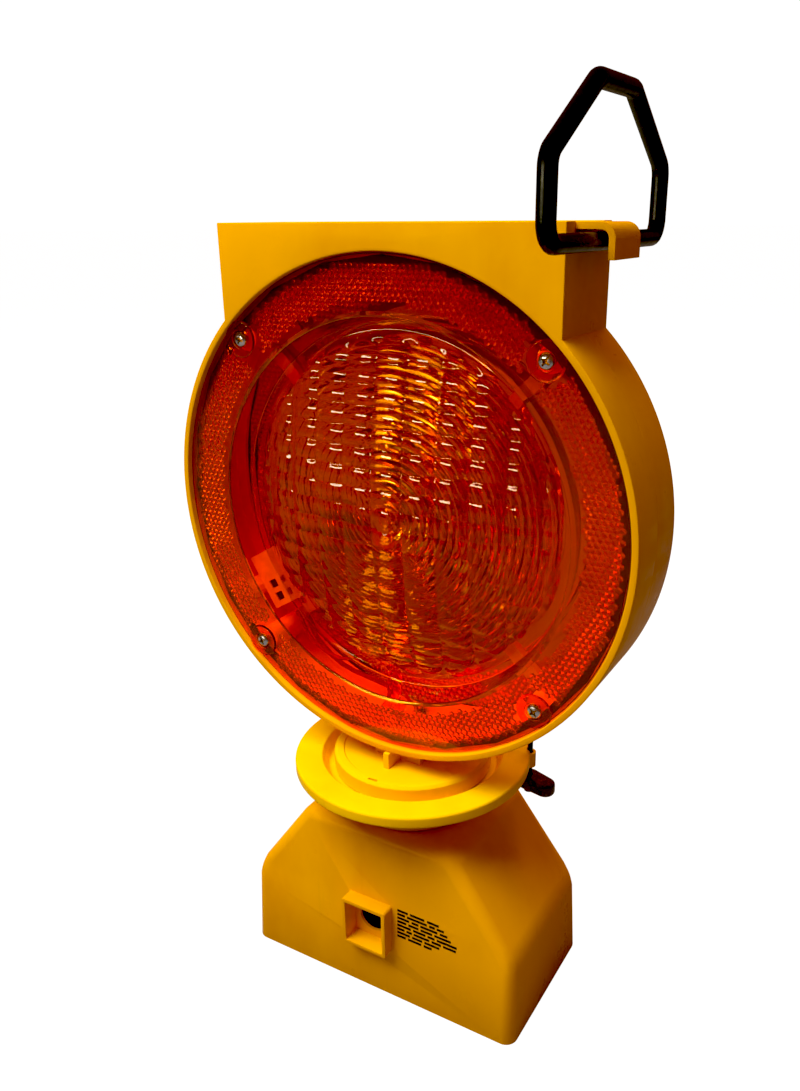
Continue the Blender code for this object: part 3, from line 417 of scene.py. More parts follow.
def solar_cells(name):
    look = Look(name)
    silicon = look.noise(700.0, 3.0, 0.5, look.stretched((0.3, 1.0, 1.0)))
    tone = look.ramp(silicon, (0.35, (0.004, 0.008, 0.03)), (0.65, (0.012, 0.022, 0.09)))
    lines = look.node("ShaderNodeTexWave", wave_type="BANDS", bands_direction="X")
    look.link(look.coords, lines.inputs["Vector"])
    lines.inputs["Scale"].default_value = 25.0
    finger = look.between(lines.outputs["Fac"], 0.0, 1.0, 0.94, 0.98)
    tone = look.mix(finger, tone, (0.55, 0.55, 0.56))
    look.link(tone, look.shader.inputs["Base Color"])
    look.link(look.between(silicon, 0.12, 0.3), look.shader.inputs["Roughness"])
    look.set(Coat_Weight=1.0, Coat_Roughness=0.04)
    return look


def circuit_board(name):
    look = Look(name)
    tracks = look.node("ShaderNodeTexBrick")
    look.link(look.stretched((1.0, 1.0, 1.0)), tracks.inputs["Vector"])
    tracks.inputs["Scale"].default_value = 260.0
    tracks.inputs["Mortar Size"].default_value = 0.06
    tracks.inputs["Color1"].default_value = (0.010, 0.11, 0.035, 1.0)
    tracks.inputs["Color2"].default_value = (0.014, 0.14, 0.045, 1.0)
    tracks.inputs["Mortar"].default_value = (0.03, 0.24, 0.08, 1.0)
    look.link(tracks.outputs["Color"], look.shader.inputs["Base Color"])
    look.link(look.between(look.noise(900.0), 0.25, 0.5, 0.3, 0.7), look.shader.inputs["Roughness"])
    look.link(look.bump(tracks.outputs["Fac"], 0.2, 0.0001), look.shader.inputs["Normal"])
    return look


YELLOW, YELLOW_DEEP = (0.86, 0.41, 0.004), (0.76, 0.33, 0.003)
# The collar and the swivel disc get a lighter copy of the yellow moulding: painted light, standing in
# for the light that falls on their upward faces.
PAINTED_LIT_YELLOW, PAINTED_LIT_YELLOW_DEEP = (0.95, 0.58, 0.006), (0.90, 0.50, 0.004)
yellow = moulded_plastic("yellow_moulding", YELLOW, YELLOW_DEEP).material
painted_lit_yellow = moulded_plastic("yellow_moulding_painted_lit", PAINTED_LIT_YELLOW, PAINTED_LIT_YELLOW_DEEP, 0.30, False).material
amber = amber_plastic("amber_clear", (0.97, 0.33, 0.018), (0.98, 0.55, 0.08), 0.98).material
# The prism cells get a lighter, less clear copy of the amber: painted sheen, standing in for the light
# the prisms send back.
amber_cells_painted_sheen = amber_plastic("amber_prisms_painted_sheen", (1.00, 0.56, 0.13), (0.98, 0.70, 0.30), 0.95).material
black = gloss_coated("black_gloss", (0.004, 0.004, 0.006), 0.26, 0.0).material
lever_dark = gloss_coated("lever_gloss", (0.050, 0.018, 0.030), 0.18, 0.5).material
rubber = plain_variation("rubber_matte", (0.018, 0.018, 0.018), 0.75).material
steel = metal("zinc_plate", (0.62, 0.63, 0.66)).material
orange = plain_variation("orange_switch_plastic", (0.72, 0.68, 0.16), 0.42).material
rib_orange = plain_variation("rib_plastic", (0.36, 0.26, 0.03), 0.42).material
# The lamp board's dark brown is painted shade: it keeps the board as dark as the shaded inside of the
# head around it.
lamp_board_painted_shade = plain_variation("lamp_board_painted_shade_brown", (0.26, 0.15, 0.03), 0.5).material
white = plain_variation("white_plastic_matte", (0.70, 0.69, 0.65), 0.45).material
sleeve = plain_variation("battery_sleeve_print", (0.04, 0.16, 0.10), 0.35, 60.0, 900.0, 0.4).material
wire_red = plain_variation("wire_insulation", (0.22, 0.012, 0.010), 0.38).material
chip = plain_variation("chip_moulding", (0.014, 0.014, 0.014), 0.5).material
capacitor = plain_variation("capacitor_sleeve", (0.010, 0.020, 0.090), 0.3).material
ink = plain_variation("dark_print", (0.020, 0.016, 0.012), 0.6, 900.0, 2500.0, 0.5).material
board = circuit_board("board_mask").material
cells = solar_cells("solar_cells").material

led_look = plain_variation("lamp_body", (0.95, 0.80, 0.50), 0.12)
led_look.set(Transmission_Weight=0.55, IOR=1.5)
led = led_look.material
window_look = plain_variation("window_clear", (0.90, 0.93, 0.95), 0.05, 60.0)
window_look.set(Alpha=0.25, IOR=1.45)
window = window_look.material


# ---- Base -------------------------------------------------------------------
def base_width(z):
    return BASE_HALF_WIDTH - BASE_DRAFT * z


def base_depth(z):
    return BASE_HALF_DEPTH - BASE_DRAFT * z


def base_form(inset, foot_z, segments):
    bm = bmesh.new()
    shoulder_z = SHOULDER_Z - 0.3 * inset
    levels = (
        (foot_z, base_width(foot_z) - inset),
        (shoulder_z, base_width(shoulder_z) - inset),
        (BASE_TOP_Z - inset, BASE_TOP_HALF_WIDTH - 0.55 * inset),
    )
    rings = []
    for z, width in levels:
        depth = base_depth(z) - inset
        corners = ((-width, -depth), (width, -depth), (width, depth), (-width, depth))
        rings.append([bm.verts.new((x, y, z)) for x, y in corners])
    for low, high in zip(rings, rings[1:]):
        for i in range(4):
            bm.faces.new((low[i], low[(i + 1) % 4], high[(i + 1) % 4], high[i]))
    bm.faces.new(reversed(rings[0]))
    bm.faces.new(rings[-1])
    edges = [e for e in bm.edges if max(v.co.z for v in e.verts) > foot_z + 1e-6]
    bmesh.ops.bevel(
        bm, geom=edges, offset=BASE_ROUND - inset, segments=segments, profile=0.5, affect="EDGES"
    )
    return bm


def housing():
    body = make("base_housing_fine", base_form(0, 0, 8), yellow)
    face = -base_depth(BOLT_Z) - SOCKET_STANDS_OUT
    floor = face + SOCKET_RECESS
    wide, high = SOCKET_HALF_WIDTH, SOCKET_HALF_HEIGHT
    boolean(body, base_form(BASE_WALL, -0.01, 2), "DIFFERENCE")
    back = base_depth(BOLT_Z) - 0.001
    boolean(body, rod((BOLT_X, face + 0.004, BOLT_Z), (BOLT_X, back, BOLT_Z), TUNNEL_RADIUS), "UNION")
    outline = rounded([(-wide, -high), (wide, -high), (wide, high), (-wide, high)], [0.0012] * 4)
    boss = prism([(BOLT_X + x, BOLT_Z + z) for x, z in outline], face, floor + 0.002)
    boolean(body, boss, "UNION")
    bolt_hole = rod((BOLT_X, face - 0.01, BOLT_Z), (BOLT_X, 0.05, BOLT_Z), BOLT_HOLE_RADIUS)
    boolean(body, bolt_hole, "DIFFERENCE")
    inner_x, inner_z = wide - SOCKET_WALL, high - SOCKET_WALL
    corners = [(-inner_x, -inner_z), (inner_x, -inner_z), (inner_x, inner_z), (-inner_x, inner_z)]
    outline = [(BOLT_X + x, BOLT_Z + z) for x, z in rounded(corners, [0.0006] * 4)]
    boolean(body, prism(outline, face - 0.01, floor), "DIFFERENCE")
    boolean(body, rod((0, 0, 0.07), (0, 0, 0.09), SPIGOT_RADIUS + FIT, 96), "DIFFERENCE")
    soften(body, 0.0004, 2, 50)
    stands_for(body, "base", "yellow_plastic", "base_housing")
    # A dark sleeve of painted shade goes into the bolt hole.
    bolt_hole_painted_shade(floor + 0.0012, back)


def bolt_hole_painted_shade(start, end):
    """A thin dark sleeve in the bolt hole: painted shade, standing in for the shade deep in the tunnel.
    """
    inner, outer = 0.0061, 0.00625
    wall = [(inner, -start), (outer, -start), (outer, -end), (inner, -end)]
    painted_shade_sleeve = make("bolt_hole_painted_shade", turned(wall, (BOLT_X, 0, BOLT_Z), "Y", 64), rubber)
    stands_for(painted_shade_sleeve, "base", "black_plastic")


def print_bars():
    """A block of plain dark bars where the base carries its data lines."""
    left, top, pitch, height, unit = 0.0110, 0.0428, 0.00174, 0.00108, 0.00106
    proud, sunk = 0.00006, 0.0002
    rows = (
        (4.6, 1.0, 6.2, 1.2, 5.0),
        (3.4, 0.9, 8.6, 1.0, 2.4, 0.9, 3.0),
        (5.2, 1.1, 3.0, 0.8, 7.4, 1.0, 3.2),
        (4.0, 0.9, 4.4, 1.0, 5.0, 0.9, 7.0),
        (6.0, 1.0, 5.4, 0.9, 3.0, 1.0, 8.4),
        (3.2, 0.9, 2.4, 0.8, 6.8, 1.0, 4.0, 0.9, 5.4),
        (5.6, 1.0, 4.4, 1.0, 6.4),
        (3.8, 1.0, 5.8, 1.1, 3.4),
    )
    bm = bmesh.new()
    for number, row in enumerate(rows):
        z = top - pitch * number
        x = left
        for k, length in enumerate(row):
            length *= unit
            if k % 2 == 0:
                corners = []
                for u, v in ((x, z), (x + length, z), (x + length, z + height), (x, z + height)):
                    corners.append((u, -base_depth(v), v))
                outer = [bm.verts.new((u, y - proud, v)) for u, y, v in corners]
                inner = [bm.verts.new((u, y + sunk, v)) for u, y, v in corners]
                bm.faces.new(outer)
                for i in range(4):
                    j = (i + 1) % 4
                    bm.faces.new((outer[i], inner[i], inner[j], outer[j]))
            x += length
    stands_for(make("data_bars", bm, ink), "base", "black_plastic")


# ---- Collar and neck --------------------------------------------------------
def collar():
    bore = SPIGOT_RADIUS + FIT
    profile = [
        (bore, BASE_TOP_Z + GAP),
        (0.0265, BASE_TOP_Z + GAP),
        (0.0280, 0.0835),
        (0.0335, 0.0880),
        (0.0440, 0.0917),
        (COLLAR_RADIUS, 0.0932),
        (COLLAR_RADIUS, COLLAR_TOP_Z),
        (COLLAR_MOUTH, COLLAR_TOP_Z),
        (COLLAR_MOUTH - 0.0025, COLLAR_FLOOR_Z),
        (bore, COLLAR_FLOOR_Z),
    ]
    radii = [0, 0.0006, 0.006, 0.006, 0.006, 0.0010, 0.0010, 0.0009, 0.0012, 0]
    # The ring takes the lighter yellow copy, which is painted light.
    ring = make("collar_ring_fine", turned(rounded(profile, radii, 6), sides=192), painted_lit_yellow)
    ear = rod((LEVER_X, LEVER_Y, EAR_LOW_Z), (LEVER_X, LEVER_Y, COLLAR_TOP_Z - 0.0012), EAR_RADIUS)
    boolean(ring, ear, "UNION")
    pin_hole = rod((LEVER_X, LEVER_Y, 0.08), (LEVER_X, LEVER_Y, 0.11), PIN_RADIUS + FIT)
    boolean(ring, pin_hole, "DIFFERENCE")
    stands_for(ring, "base", "bright_yellow_plastic", "collar_ring")


def neck():
    """The swivel disc with its raised rim, pedestal and web under the drum."""
    clear = DRUM_RADIUS + GAP
    low = COLLAR_FLOOR_Z + 0.0006
    profile = [
        (0, DISC_TOP_Z),
        (DISC_RADIUS - 0.0042, DISC_TOP_Z),
        (DISC_RADIUS - 0.0038, DISC_TOP_Z + 0.0005),
        (DISC_RADIUS - 0.0012, DISC_TOP_Z + 0.0005),
        (DISC_RADIUS, DISC_TOP_Z - 0.0005),
        (DISC_RADIUS, low),
        (SPIGOT_RADIUS, low),
        (SPIGOT_RADIUS, SPIGOT_FOOT_Z),
        (SPIGOT_BORE, SPIGOT_FOOT_Z),
        (SPIGOT_BORE, DISC_TOP_Z - 0.0030),
        (0, DISC_TOP_Z - 0.0030),
    ]
    radii = [0, 0.0003, 0.0003, 0.0006, 0.0006, 0, 0, 0.0004, 0, 0, 0]
    # The disc takes the lighter yellow copy, which is painted light.
    piece = make("head_neck_fine", turned(rounded(profile, radii, 4), sides=144), painted_lit_yellow)
    for wide, deep, high in (
        (PEDESTAL_HALF_WIDTH, PEDESTAL_HALF_DEPTH, PEDESTAL_TOP_Z),
        (WEB_HALF_WIDTH, WEB_HALF_DEPTH, WEB_TOP_Z),
    ):
        boolean(piece, block((-wide, -deep, DISC_TOP_Z - 0.001), (wide, deep, high)), "UNION")
    boolean(piece, rod((0, -0.03, HEAD_Z), (0, 0.03, HEAD_Z), clear, 240), "DIFFERENCE")
    boolean(piece, rod((0, 0, 0.09), (0, 0, 0.12), WIRE_HOLE_RADIUS, 40), "DIFFERENCE")
    slot = block((-0.0020, -0.0309, DISC_TOP_Z - 0.0026), (0.0020, -0.0297, DISC_TOP_Z + 0.002))
    boolean(piece, slot, "DIFFERENCE")
    stands_for(piece, "head", "yellow_plastic", "head_neck")


def lever():
    tip, half = LEVER_REACH, LEVER_HALF_WIDTH
    outline = arc((0, 0), half + 0.0006, math.radians(90), math.radians(270), 24)
    outline += arc((tip, 0), half, math.radians(-90), math.radians(90), 24)
    bm = prism(outline, -LEVER_THICK / 2, LEVER_THICK / 2, axis="Z")
    pivot = Matrix.Translation((LEVER_X, LEVER_Y, LEVER_Z + 0.0006))
    bmesh.ops.transform(bm, matrix=pivot @ Matrix.Rotation(LEVER_ANGLE, 4, "Z"), verts=bm.verts)
    piece = make("lock_lever_fine", bm, lever_dark)
    soften(piece, 0.0014, 5)
    pin_hole = rod((LEVER_X, LEVER_Y, 0.07), (LEVER_X, LEVER_Y, 0.10), PIN_RADIUS + FIT)
    boolean(piece, pin_hole, "DIFFERENCE")
    stands_for(piece, "lever", "dark_lever_plastic", "lock_lever")


# ---- Lamp head --------------------------------------------------------------
def above_drum(half_width, radius, top_z, steps=64):
    edge = math.acos(half_width / radius)
    arch = arc((0, HEAD_Z), radius, edge, math.pi - edge, steps)
    return [*arch, (-half_width, top_z), (half_width, top_z)]


def drum():
    """A thin drum with a lens ledge inside each face and a parting line round its middle."""
    face, thin = HEAD_HALF_DEPTH, LEDGE_THICK
    half = [
        (DRUM_RADIUS, face),
        (DRUM_BORE, face),
        (DRUM_BORE, LEDGE_FACE),
        (LEDGE_RADIUS, LEDGE_FACE),
        (LEDGE_RADIUS, LEDGE_FACE - thin),
        (DRUM_BORE, LEDGE_FACE - thin),
    ]
    seam = [(DRUM_RADIUS, -0.0003), (DRUM_RADIUS - 0.00014, 0.0), (DRUM_RADIUS, 0.0003)]
    profile = [*half, *[(radius, -y) for radius, y in reversed(half)], *seam]
    return turned(profile, (0, 0, HEAD_Z), "Y", 240)


def lamp_housing():
    depth = HEAD_HALF_DEPTH
    middle = (DRUM_RADIUS + DRUM_BORE) / 2
    box = prism(above_drum(BOX_HALF_WIDTH, middle, BOX_TOP_Z), -depth, depth)
    shell = make("head_shell_fine", box, yellow)
    pocket = above_drum(BOX_HALF_WIDTH - HEAD_WALL, DRUM_RADIUS - 0.0005, BOX_TOP_Z + 0.01)
    boolean(shell, prism(pocket, HEAD_WALL - depth, depth - HEAD_WALL), "DIFFERENCE")
    boolean(shell, drum(), "UNION")
    notch = CLIP_HALF_WIDTH + FIT
    boolean(shell, block((0.060, -notch, COVER_TOP_Z - COVER_PLATE), (0.070, notch, 0.31)), "DIFFERENCE")
    soften(shell, 0.0005, 3, 50)
    ends = LEDGE_FACE - 0.0002
    bosses = []
    for quarter in range(4):
        angle = math.radians(45 + 90 * quarter)
        c, s = math.cos(angle), math.sin(angle)
        distance = SCREW_OFFSET * math.sqrt(2)
        local = arc((distance, 0), BOSS_RADIUS, math.radians(90), math.radians(270), 24)
        local += [(DRUM_BORE + 0.0004, -BOSS_RADIUS), (DRUM_BORE + 0.0004, BOSS_RADIUS)]
        outline = [(c * u - s * v, HEAD_Z + s * u + c * v) for u, v in local]
        bosses.append(prism(outline, -ends, ends))
    stands_for(make("lens_bosses", together(*bosses), yellow), "head", "yellow_plastic")
    stands_for(shell, "head", "yellow_plastic", "head_shell")


def cover():
    half_width = BOX_HALF_WIDTH - HEAD_WALL - FIT
    half_depth = HEAD_HALF_DEPTH - HEAD_WALL - FIT
    floor_z = COVER_TOP_Z - COVER_PLATE
    plate = block((-half_width, -half_depth, floor_z), (half_width, half_depth, COVER_TOP_Z))
    piece = make("top_cover_fine", plate, yellow)
    leg, bend, root, photocell_x = CLIP_LEG_X, 0.0048, 0.0600, 0.040
    centre = (leg - bend, COVER_TOP_Z - bend)
    hook = [(root, COVER_TOP_Z), *arc(centre, bend, math.radians(90), 0, 14), (leg, CLIP_FOOT_Z)]
    hook += [(leg - CLIP_THICK, CLIP_FOOT_Z), *arc(centre, bend - CLIP_THICK, 0, math.radians(90), 14)]
    hook += [(root, COVER_TOP_Z - CLIP_THICK)]
    boolean(piece, prism(hook, -CLIP_HALF_WIDTH, CLIP_HALF_WIDTH), "UNION")
    catch_top, catch_side = HANDLE_Z - HANDLE_ROD - FIT, CLIP_HALF_WIDTH - 0.0005
    catch = block((leg - 0.0072, 0.0065, CLIP_FOOT_Z), (leg - 0.001, catch_side, catch_top))
    boolean(piece, catch, "UNION")
    wide, deep = PANEL_HALF_WIDTH + FIT, PANEL_HALF_DEPTH + FIT
    boolean(piece, block((-wide, -deep, COVER_TOP_Z - 0.0026), (wide, deep, 0.31)), "DIFFERENCE")
    photocell_hole = rod((photocell_x, 0, 0.29), (photocell_x, 0, 0.31), 0.0030)
    boolean(piece, photocell_hole, "DIFFERENCE")
    soften(piece, 0.0005, 3, 40)
    stands_for(piece, "head", "yellow_plastic", "top_cover")


# ---- Lenses -----------------------------------------------------------------
def dome_height(r):
    share = np.clip(1 - r / DOME_RADIUS, 0, 1)
    return DOME_FOOT + (DOME_APEX - DOME_FOOT) * (1 - (1 - share) ** 2)


def pillows(x, z, r):
    """Rectangular pillow optics: how far the outer face stands off the dome."""
    u = (x / PILLOW_WIDE + 0.5) % 1.0 - 0.5
    v = (z / PILLOW_HIGH + 0.5) % 1.0 - 0.5
    swell = SWELL_ACROSS * (1 - (2 * u) ** 2) + SWELL_UP * (1 - (2 * v) ** 2) - SWELL_ACROSS
    edge = np.clip((DOME_RADIUS - 0.0020 - r) / 0.0030, 0, 1)
    eye = EYE_STANDS_OUT * (1 - (r / EYE_RADIUS) ** 2)
    return np.where(r < EYE_RADIUS, eye, swell * edge * edge * (3 - 2 * edge))


def sheet(profile, segments, relief):
    """Points of rings about the lens axis: (radius, out) with the relief added."""
    a = np.arange(segments) * math.tau / segments
    r = np.array([p[0] for p in profile])[:, None]
    out = np.array([p[1] for p in profile])[:, None]
    x, z = r * np.cos(a), r * np.sin(a)
    out = out + relief(x, z, np.broadcast_to(r, x.shape))
    return np.stack([x, -out, z + HEAD_Z], axis=-1).reshape(-1, 3)


def lens_outside():
    """The outer face from the dome's middle to the rim: (radius, out) points."""
    dome = [(r, float(dome_height(r))) for r in np.linspace(0.0002, DOME_RADIUS, 100)]
    step = [
        (DOME_RADIUS + 0.0004, DOME_FOOT),
        (STEP_RADIUS - 0.0022, DOME_FOOT),
        (STEP_RADIUS, RING_FACE),
        (LENS_RADIUS, RING_FACE),
    ]
    steps = 5
    # The rim's rounding is cut off again, as the rim gets its own points below.
    step = rounded(step, [0, 0.0008, 0.0007, 0.0004], steps)[: -steps - 1]
    ring = [(r, RING_FACE) for r in (0.0780, 0.0850, LENS_RADIUS - 0.0004)]
    return [*dome, *step, *ring, (LENS_RADIUS, RING_FACE - 0.0004)]


def lens_inside():
    """The inner face, with Fresnel rings round a small eye: (radius, out) points."""

    def under_dome(r, depth=0.0):
        return (r, float(dome_height(r)) - LENS_THICK - depth)

    eye, rings = [], []
    for r in np.linspace(0.0002, RING_PITCH, 8):
        eye.append(under_dome(r, 0.0007 * (1 - (r / RING_PITCH) ** 2)))
    for k in range(1, RING_COUNT + 1):
        start = k * RING_PITCH
        for t in (0.02, 0.25, 0.5, 0.75, 0.98):
            depth = min(0.0012 + 0.020 * start, 0.0016) * (1 - t**1.2)
            rings.append(under_dome(start + t * RING_PITCH, depth))
    flange = [
        under_dome(0.0645),
        (DOME_RADIUS, DOME_FOOT - LENS_THICK),
        (STEP_RADIUS - 0.0006, DOME_FOOT - LENS_THICK),
        (STEP_RADIUS + 0.0018, RING_BACK),
        (0.0850, RING_BACK),
        (LENS_RADIUS, RING_BACK),
    ]
    return [*eye, *rings, *flange]


def lens_mesh(segments=400):
    outer, inner = lens_outside(), lens_inside()
    inner_points = sheet(inner, segments, lambda x, z, r: 0 * x)
    points = np.concatenate([sheet(outer, segments, pillows), inner_points])
    i = np.arange(segments)
    j = (i + 1) % segments

    def band(first, second):
        low, high = first * segments, second * segments
        return np.stack([low + j, low + i, high + i, high + j], 1)

    count, total = len(outer), len(outer) + len(inner)
    bands = [band(k, k + 1) for k in range(count - 1)]
    bands += [band(k + 1, k) for k in range(count, total - 1)]
    bands.append(band(count - 1, total - 1))
    eyes = [i.tolist(), (count * segments + i)[::-1].tolist()]
    mesh = bpy.data.meshes.new("lens")
    mesh.from_pydata(points.tolist(), [], [*np.concatenate(bands).tolist(), *eyes])
    mesh.update()
    return mesh


def reflector_cells():
    """Hexagonal prism cells behind the clear ring, left out round the screws and their spokes."""
    points, faces = [], []
    row_step = CELL_PITCH * math.sqrt(3) / 2
    count = int(LENS_RADIUS / row_step) + 1
    face, shoulder, apex = RING_BACK - 0.00003, RING_BACK - 0.00018, RING_BACK - 0.00098
    edge = CELL_PITCH / math.sqrt(3) * 0.985
    nearest, farthest, clear_of_screw, clear_of_spoke = 0.0763, 0.0896, 0.0085, 0.0042
    screws = [(sx * SCREW_OFFSET, sz * SCREW_OFFSET) for sx in (-1, 1) for sz in (-1, 1)]
    for row in range(-count, count + 1):
        for column in range(-count, count + 1):
            x = (column + 0.5 * (row % 2)) * CELL_PITCH
            z = row * row_step
            r = math.hypot(x, z)
            if not nearest < r < farthest:
                continue
            if min(math.hypot(x - sx, z - sz) for sx, sz in screws) < clear_of_screw:
                continue
            if abs(abs(x) - abs(z)) / math.sqrt(2) < clear_of_spoke:
                continue
            first = len(points)
            for level in (face, shoulder):
                for k in range(6):
                    a = math.radians(30 + 60 * k)
                    points.append((x + edge * math.cos(a), -level, HEAD_Z + z + edge * math.sin(a)))
            points.append((x, -apex, HEAD_Z + z))
            faces.append([first + k for k in range(6)])
            for k in range(6):
                m = (k + 1) % 6
                faces.append([first + m, first + k, first + 6 + k, first + 6 + m])
                faces.append([first + 6 + m, first + 6 + k, first + 12])
    mesh = bpy.data.meshes.new("reflector_cells")
    mesh.from_pydata(points, [], faces)
    mesh.update()
    return mesh


def boss_rings():
    shapes = []
    for sx in (-1, 1):
        for sz in (-1, 1):
            low, high = RING_FACE + 0.00002, RING_FACE + 0.0006
            outside = [(0.0037, high), (0.0062, high), (0.0068, low)]
            profile = [(0.0034, low), (0.0034, high - 0.0002), *outside]
            profile = rounded(profile, [0, 0, 0.0001, 0.0003, 0], 3)
            shapes.append(turned(profile, (sx * SCREW_OFFSET, 0, HEAD_Z + sz * SCREW_OFFSET), "Y", 48))
    return together(*shapes)


def spokes():
    """Ribs that stiffen the lens between its dome and three of its screws."""
    shapes = []
    for degrees in (45, 135, 315):
        bm = block((0.0625, 0.0010, -0.0026), (0.0800, 0.0044, 0.0026))
        turn = Matrix.Translation((0, 0, HEAD_Z)) @ Matrix.Rotation(-math.radians(degrees), 4, "Y")
        bmesh.ops.transform(bm, matrix=turn, verts=bm.verts)
        bmesh.ops.scale(bm, vec=(1, -1, 1), verts=bm.verts)
        shapes.append(bm)
    return together(*shapes)


def add_lens(side, shared):
    turn = Matrix.Identity(4) if side == "front" else Matrix.Rotation(math.pi, 4, "Z")
    for label, mesh, look, slot in shared:
        obj = bpy.data.objects.new(f"{side}_{label}", mesh)
        bpy.context.scene.collection.objects.link(obj)
        obj.matrix_world = turn
        if not mesh.materials:
            mesh.materials.append(look)
        replaced = [f"{side}_lens"] if label == "lens_fine" else []
        stands_for(obj, "head", slot, *replaced)


def mesh_of(name, bm, sharp=30):
    bmesh.ops.recalc_face_normals(bm, faces=bm.faces)
    mesh = bpy.data.meshes.new(name)
    bm.to_mesh(mesh)
    bm.free()
    finish_shading(mesh, sharp)
    return mesh


def lenses():
    lens = lens_mesh()
    finish_shading(lens, 24)
    cells_mesh = reflector_cells()
    shared = (
        ("lens_fine", lens, amber, "amber_lens"),
        ("lens_cells", cells_mesh, amber_cells_painted_sheen, "amber_lens"),
        ("lens_boss_rings", mesh_of("boss_rings", boss_rings()), amber, "amber_lens"),
        ("lens_spokes", mesh_of("spokes", spokes()), rib_orange, "yellow_plastic"),
    )
    add_lens("front", shared)
    add_lens("rear", shared)


# ---- Screws -----------------------------------------------------------------
def cross_screw(length):
    """A pan-head screw at the origin, head up along +Z, with a cross recess and a thread."""
    radius, height, shank = 0.0028, SCREW_HEAD_HEIGHT, 0.0015
    root = 0.82 * shank
    head = [
        (0, height),
        (0.45 * radius, 0.97 * height),
        (0.78 * radius, 0.82 * height),
        (0.96 * radius, 0.50 * height),
        (radius, 0.22 * height),
        (0.97 * radius, 0),
    ]
    thread = []
    z = -0.0004
    while z > -length + 0.0020:
        thread += [(shank, z), (shank, z - 0.00025), (root, z - 0.00045), (root, z - 0.00055)]
        z -= 0.0008
    profile = [*head, (shank, 0), *thread, (0.8 * shank, -length + 0.0014), (0, -length)]
    screw = make("screw_master", turned(profile, sides=36), steel)
    arm, slot = 0.00175, 0.00033
    for x, y in ((arm, slot), (slot, arm)):
        boolean(screw, block((-x, -y, height - 0.0010), (x, y, height + 0.001)), "DIFFERENCE")
    point = rod((0, 0, height - 0.0012), (0, 0, height + 0.0006), 0.0005, 16, 0.0011)
    boolean(screw, point, "DIFFERENCE")
    soften(screw, 0.00006, 1, 40)
    mesh = screw.data
    bpy.data.objects.remove(screw)
    return mesh


def screws():
    long_mesh, short_mesh = cross_screw(0.0095), cross_screw(0.0085)
    up = Vector((0, 0, 1))
    for name in sorted(nodes):
        if "screw" not in name:
            continue
        low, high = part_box(name)
        middle = (low + high) / 2
        if name.startswith("cover"):
            head, facing = Vector((middle.x, middle.y, low.z)), Vector((0, 0, -1))
        elif name.startswith("neck"):
            head, facing = Vector((middle.x, middle.y, high.z)), Vector((0, 0, 1))
        elif name.startswith("front"):
            head, facing = Vector((middle.x, low.y, middle.z)), Vector((0, -1, 0))
        else:
            head, facing = Vector((middle.x, high.y, middle.z)), Vector((0, 1, 0))
        mesh = short_mesh if name.startswith("neck") else long_mesh
        obj = bpy.data.objects.new(f"{name}_fine", mesh)
        bpy.context.scene.collection.objects.link(obj)
        spin = Matrix.Rotation(1.3 * sum(map(ord, name)), 4, "Z")
        turn = up.rotation_difference(facing).to_matrix().to_4x4()
        obj.matrix_world = Matrix.Translation(head - SCREW_HEAD_HEIGHT * facing) @ turn @ spin
        body = "base" if name.startswith("cover") else "head"
        stands_for(obj, body, "zinc_steel", name)


# ---- Handle -----------------------------------------------------------------
def handle():
    half, top = HANDLE_HALF_WIDTH, HANDLE_TOP_HALF
    right = [(half, 0), (half, HANDLE_SIDE), (top, HANDLE_RISE)]
    left = [(-y, z) for y, z in reversed(right)]
    route = rounded([left[-1], *right, *left[:-1]], [HANDLE_BEND] * 6, 12)
    curve = bpy.data.curves.new("handle_fine", "CURVE")
    curve.dimensions = "3D"
    curve.bevel_depth = HANDLE_ROD
    curve.bevel_resolution = 8
    spline = curve.splines.new("POLY")
    spline.points.add(len(route) - 1)
    spline.use_cyclic_u = True
    for slot, (y, z) in zip(spline.points, route):
        slot.co = (HANDLE_X, y, HANDLE_Z + z, 1.0)
    curve.materials.append(black)
    obj = bpy.data.objects.new("handle_fine", curve)
    bpy.context.scene.collection.objects.link(obj)
    stands_for(obj, "handle", "black_plastic", "handle")


# ---- Switch and the CAD nodes that stay -------------------------------------
def switch_socket_painted_shade():
    """Dark blocks inside the two sockets in the switch box: painted shade, standing in for the shade
    deep in the holes.
    """
    half, mouth, bottom = 0.0016, 0.0006 - SWITCH_HALF_DEPTH, 0.0039 - SWITCH_HALF_DEPTH
    left, right = SWITCH_MIDDLE - half, SWITCH_MIDDLE + half
    socket_shade_blocks = [block((left, mouth, z - half), (right, bottom, z + half)) for z in (0.0020, 0.0078)]
    bm = together(*socket_shade_blocks)
    turn = Matrix.Translation((0, 0, HEAD_Z)) @ Matrix.Rotation(-SWITCH_ANGLE, 4, "Y")
    bmesh.ops.transform(bm, matrix=turn, verts=bm.verts)
    stands_for(make("switch_socket_painted_shade", bm, rubber), "head", "black_plastic")


def dress_nodes():
    looks = {
        "base_cover": black,
        "cover_seal": rubber,
        "battery_carrier": white,
        "battery_cell": sleeve,
        "battery_contact": steel,
        "control_board": board,
        "control_chip": chip,
        "storage_capacitor": capacitor,
        "lock_pin": black,
        "swivel": steel,
        "base_lead": wire_red,
        "drum_lead": wire_red,
        "lamp_lead": wire_red,
        "panel_lead": wire_red,
        "front_gasket": rubber,
        "rear_gasket": rubber,
        "led_board": lamp_board_painted_shade,
        "led_post": amber,
        "front_led": led,
        "rear_led": led,
        "photocell": wire_red,
        "solar_panel": cells,
        "solar_window": window,
        "switch_box": orange,
        "switch_button": rubber,
    }
    for name, obj in nodes.items():
        for start, look in looks.items():
            if name.startswith(start):
                for slot in obj.material_slots:
                    slot.material = look
                if not obj.material_slots:
                    obj.data.materials.append(look)


